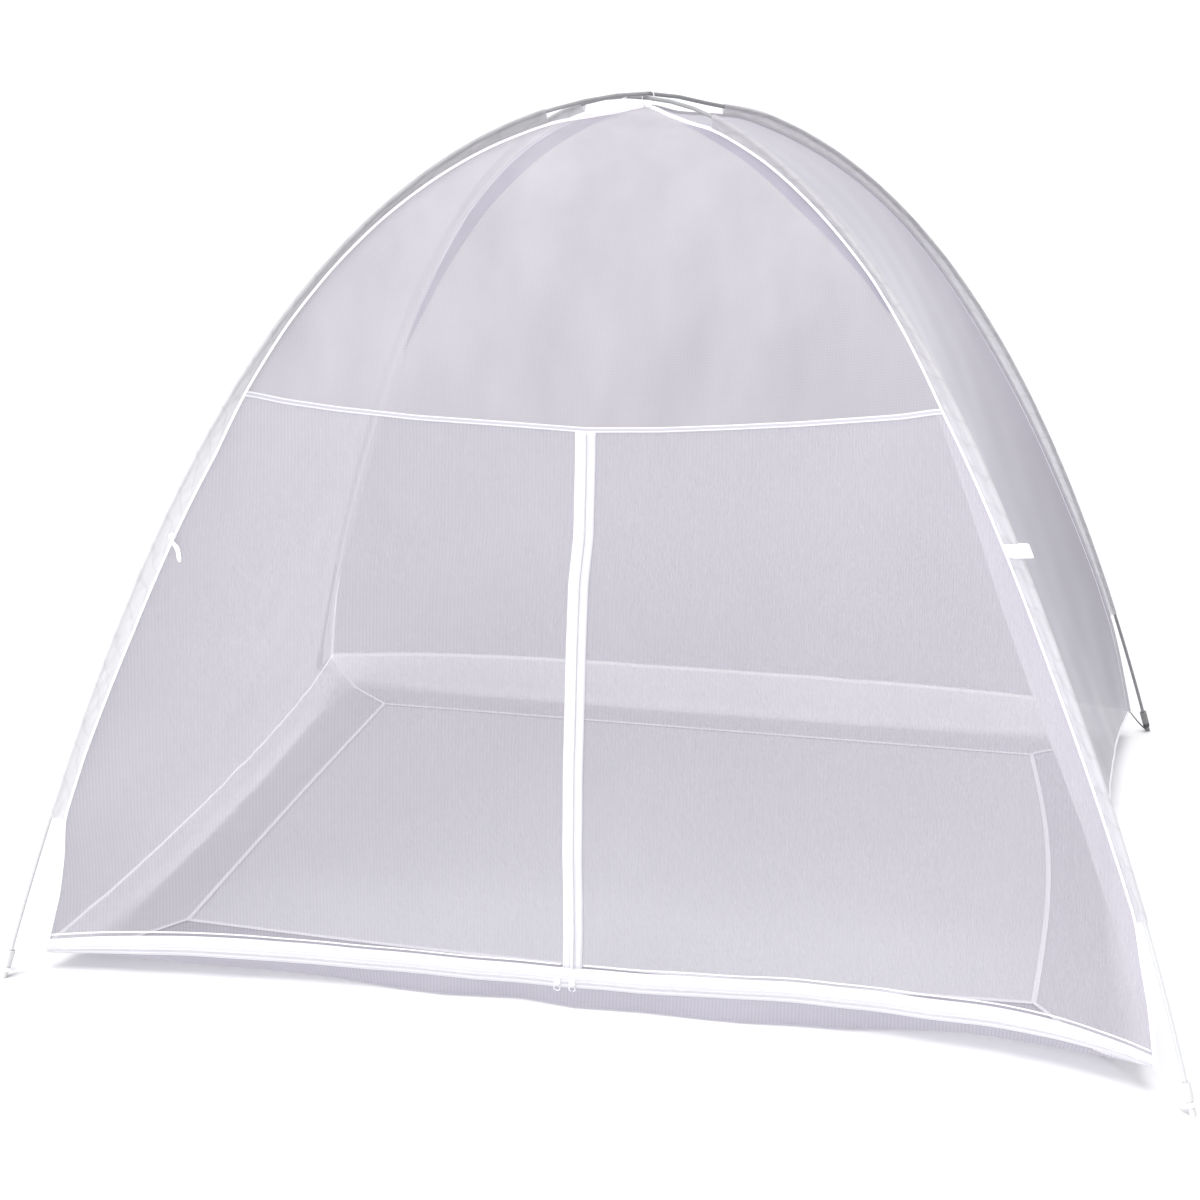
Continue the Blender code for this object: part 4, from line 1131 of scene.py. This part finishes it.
for leg_name in LEGS:
    path, up = strap_path(leg_name)
    strap, _ = ribbon("strap_" + leg_name, path, np.tile(up * STRAP_HALF, (len(path), 1)),
                      shaded_tape_material if leg_name.startswith("back") else tape_material,
                      STRAP_T)
    sew(strap, "strap", "corner_strap_" + leg_name)


# Crossing tie: one ribbon sewn to the peak, brought up both sides of the poles
# and knotted on top, its ends left as one short and one long tail.
def rounded(points, count):
    """A smooth path of evenly spaced points through a few."""
    points = np.asarray(points, float)
    ends = np.vstack((2 * points[0] - points[1], points, 2 * points[-1] - points[-2]))
    path = []
    for place in np.linspace(0.0, len(points) - 1.000001, len(points) * 6):
        index = int(place)
        share = place - index
        before, here, there, after = ends[index:index + 4]
        path.append(0.5 * (2 * here + (there - before) * share
                           + (2 * before - 5 * here + 4 * there - after) * share ** 2
                           + (3 * here - before - 3 * there + after) * share ** 3))
    path = np.array(path)
    length = run_lengths(path, 0)
    even = np.linspace(0.0, length[-1], count)
    return np.stack([np.interp(even, length, path[:, axis]) for axis in range(3)], -1)


# left to right, height over the crossing
TIE_PATH = (
    (-0.0030, 0.0215), (-0.0034, 0.0160), (-0.0026, 0.0115), (0.0000, 0.0086),
    (0.0050, 0.0084), (0.0088, 0.0062), (0.0105, 0.0000), (0.0100, -0.0080),
    (0.0078, -0.0145), (0.0045, -0.0190), (-0.0045, -0.0190), (-0.0078, -0.0145),
    (-0.0100, -0.0080), (-0.0105, 0.0000), (-0.0108, 0.0060), (-0.0150, 0.0082),
    (-0.0240, 0.0050), (-0.0360, -0.0010), (-0.0500, -0.0070), (-0.0610, -0.0130),
)
TIE_HALF = 0.0025
path = rounded([(x, 0.0, CROSSING - DIP + z) for x, z in TIE_PATH], 90)
tie, _ = ribbon("tie_ribbon", path, np.tile((0.0, TIE_HALF, 0.0), (len(path), 1)),
                tape_material, 0.001)
sew(tie, "tape", "crossing_tie")


def add_knot(name, centre, axes, size):
    """A pulled-tight knot: a small block, drawn round and grooved."""
    knot = bmesh.new()
    bmesh.ops.create_uvsphere(knot, u_segments=24, v_segments=14, radius=0.5)
    for vertex in knot.verts:
        x, y, z = vertex.co
        groove = 1.0 - 0.13 * math.cos(6.0 * math.pi * (y + 0.35 * x)) ** 2
        place = centre + (axes[0] * (x * size[0]) + axes[1] * (y * size[1])
                          + axes[2] * (z * size[2])) * groove
        vertex.co = place
    pattern = knot.loops.layers.uv.new("cloth")
    for face in knot.faces:
        for loop in face.loops:
            loop[pattern].uv = (loop.vert.co.x, loop.vert.co.z)
    bmesh.ops.recalc_face_normals(knot, faces=knot.faces)
    return finished(name, knot, tape_material)


sew(add_knot("tie_knot", np.array((0.0, 0.0, CROSSING - DIP + 0.0100)), np.eye(3),
             (0.0100, 0.0085, 0.0085)), "tape")

# Door ties: on the left a ribbon knotted over the sleeve's fin, its tail lying
# on the door; on the right a tab folded over the sleeve, with its end inside.
KNOT_ROW = 1.166
# row down the leg, distance in from the seam, distance out of the cloth
TAIL_PATH = ((1.173, -0.0030, 0.0034), (1.179, 0.0040, 0.0036), (1.187, 0.0120, 0.0030),
             (1.196, 0.0180, 0.0022), (1.205, 0.0225, 0.0018), (1.214, 0.0280, 0.0016))


def beside_seam(row, inward_by, out_by):
    """Point by the front left seam: on the door, or outside it on the fin."""
    if inward_by >= 0.0:
        return surface("front", inward_by / chord("front", row), row, out_by)
    point, _, inward, side = leg_axes("front_left", row)
    return point + (inward * (np.interp(row, DENSE, SEAM_FINS["front_left"]) + inward_by)
                    + side * out_by)


path = rounded([beside_seam(*place) for place in TAIL_PATH], 36)
beside = rounded([beside_seam(row - 0.0020, inward_by + 0.0030, out_by)
                  for row, inward_by, out_by in TAIL_PATH], 36)
taper = np.interp(np.linspace(0.0, 1.0, 36), (0.0, 0.35, 0.85, 1.0), (0.7, 1.0, 1.0, 0.35))
tail, _ = ribbon("door_ribbon_tail", path, (beside - path) * taper[:, None],
                 tape_material, 0.001)
sew(tail, "tape", "door_tie_tail")
_, down, inward, side = leg_axes("front_left", KNOT_ROW)
knot = add_knot("door_ribbon_knot", beside_seam(KNOT_ROW, -0.0060, 0.0062),
                (inward, down, side), (0.0130, 0.0125, 0.0065))
sew(knot, "tape", "door_tie_knot")

TAB_ROW = 1.135
TAB_HALF = 0.0115
point, down, inward, side = leg_axes("front_right", TAB_ROW)
root = float(np.interp(TAB_ROW, DENSE, SEAM_FINS["front_right"])) - 0.002
# in from the pole, sideways
TAB_TURNS = ((root, -0.0026), (0.012, -0.0047), (0.002, -0.0064), (-0.006, -0.0056),
             (-0.014, -0.0034), (-0.022, -0.0020), (-0.025, 0.0), (-0.022, 0.0020),
             (-0.014, 0.0034), (-0.006, 0.0056), (0.002, 0.0064), (0.012, 0.0047),
             (root, 0.0026))
path = rounded([point + inward * in_by + side * by - down * (0.35 * in_by)
                for in_by, by in TAB_TURNS], 60)
tab, tab_grid = ribbon("door_tab", path, np.tile(down * TAB_HALF, (len(path), 1)),
                       tape_material, 0.001)
hang(tab, tab_grid, "tape", ["door_tie_tab"])
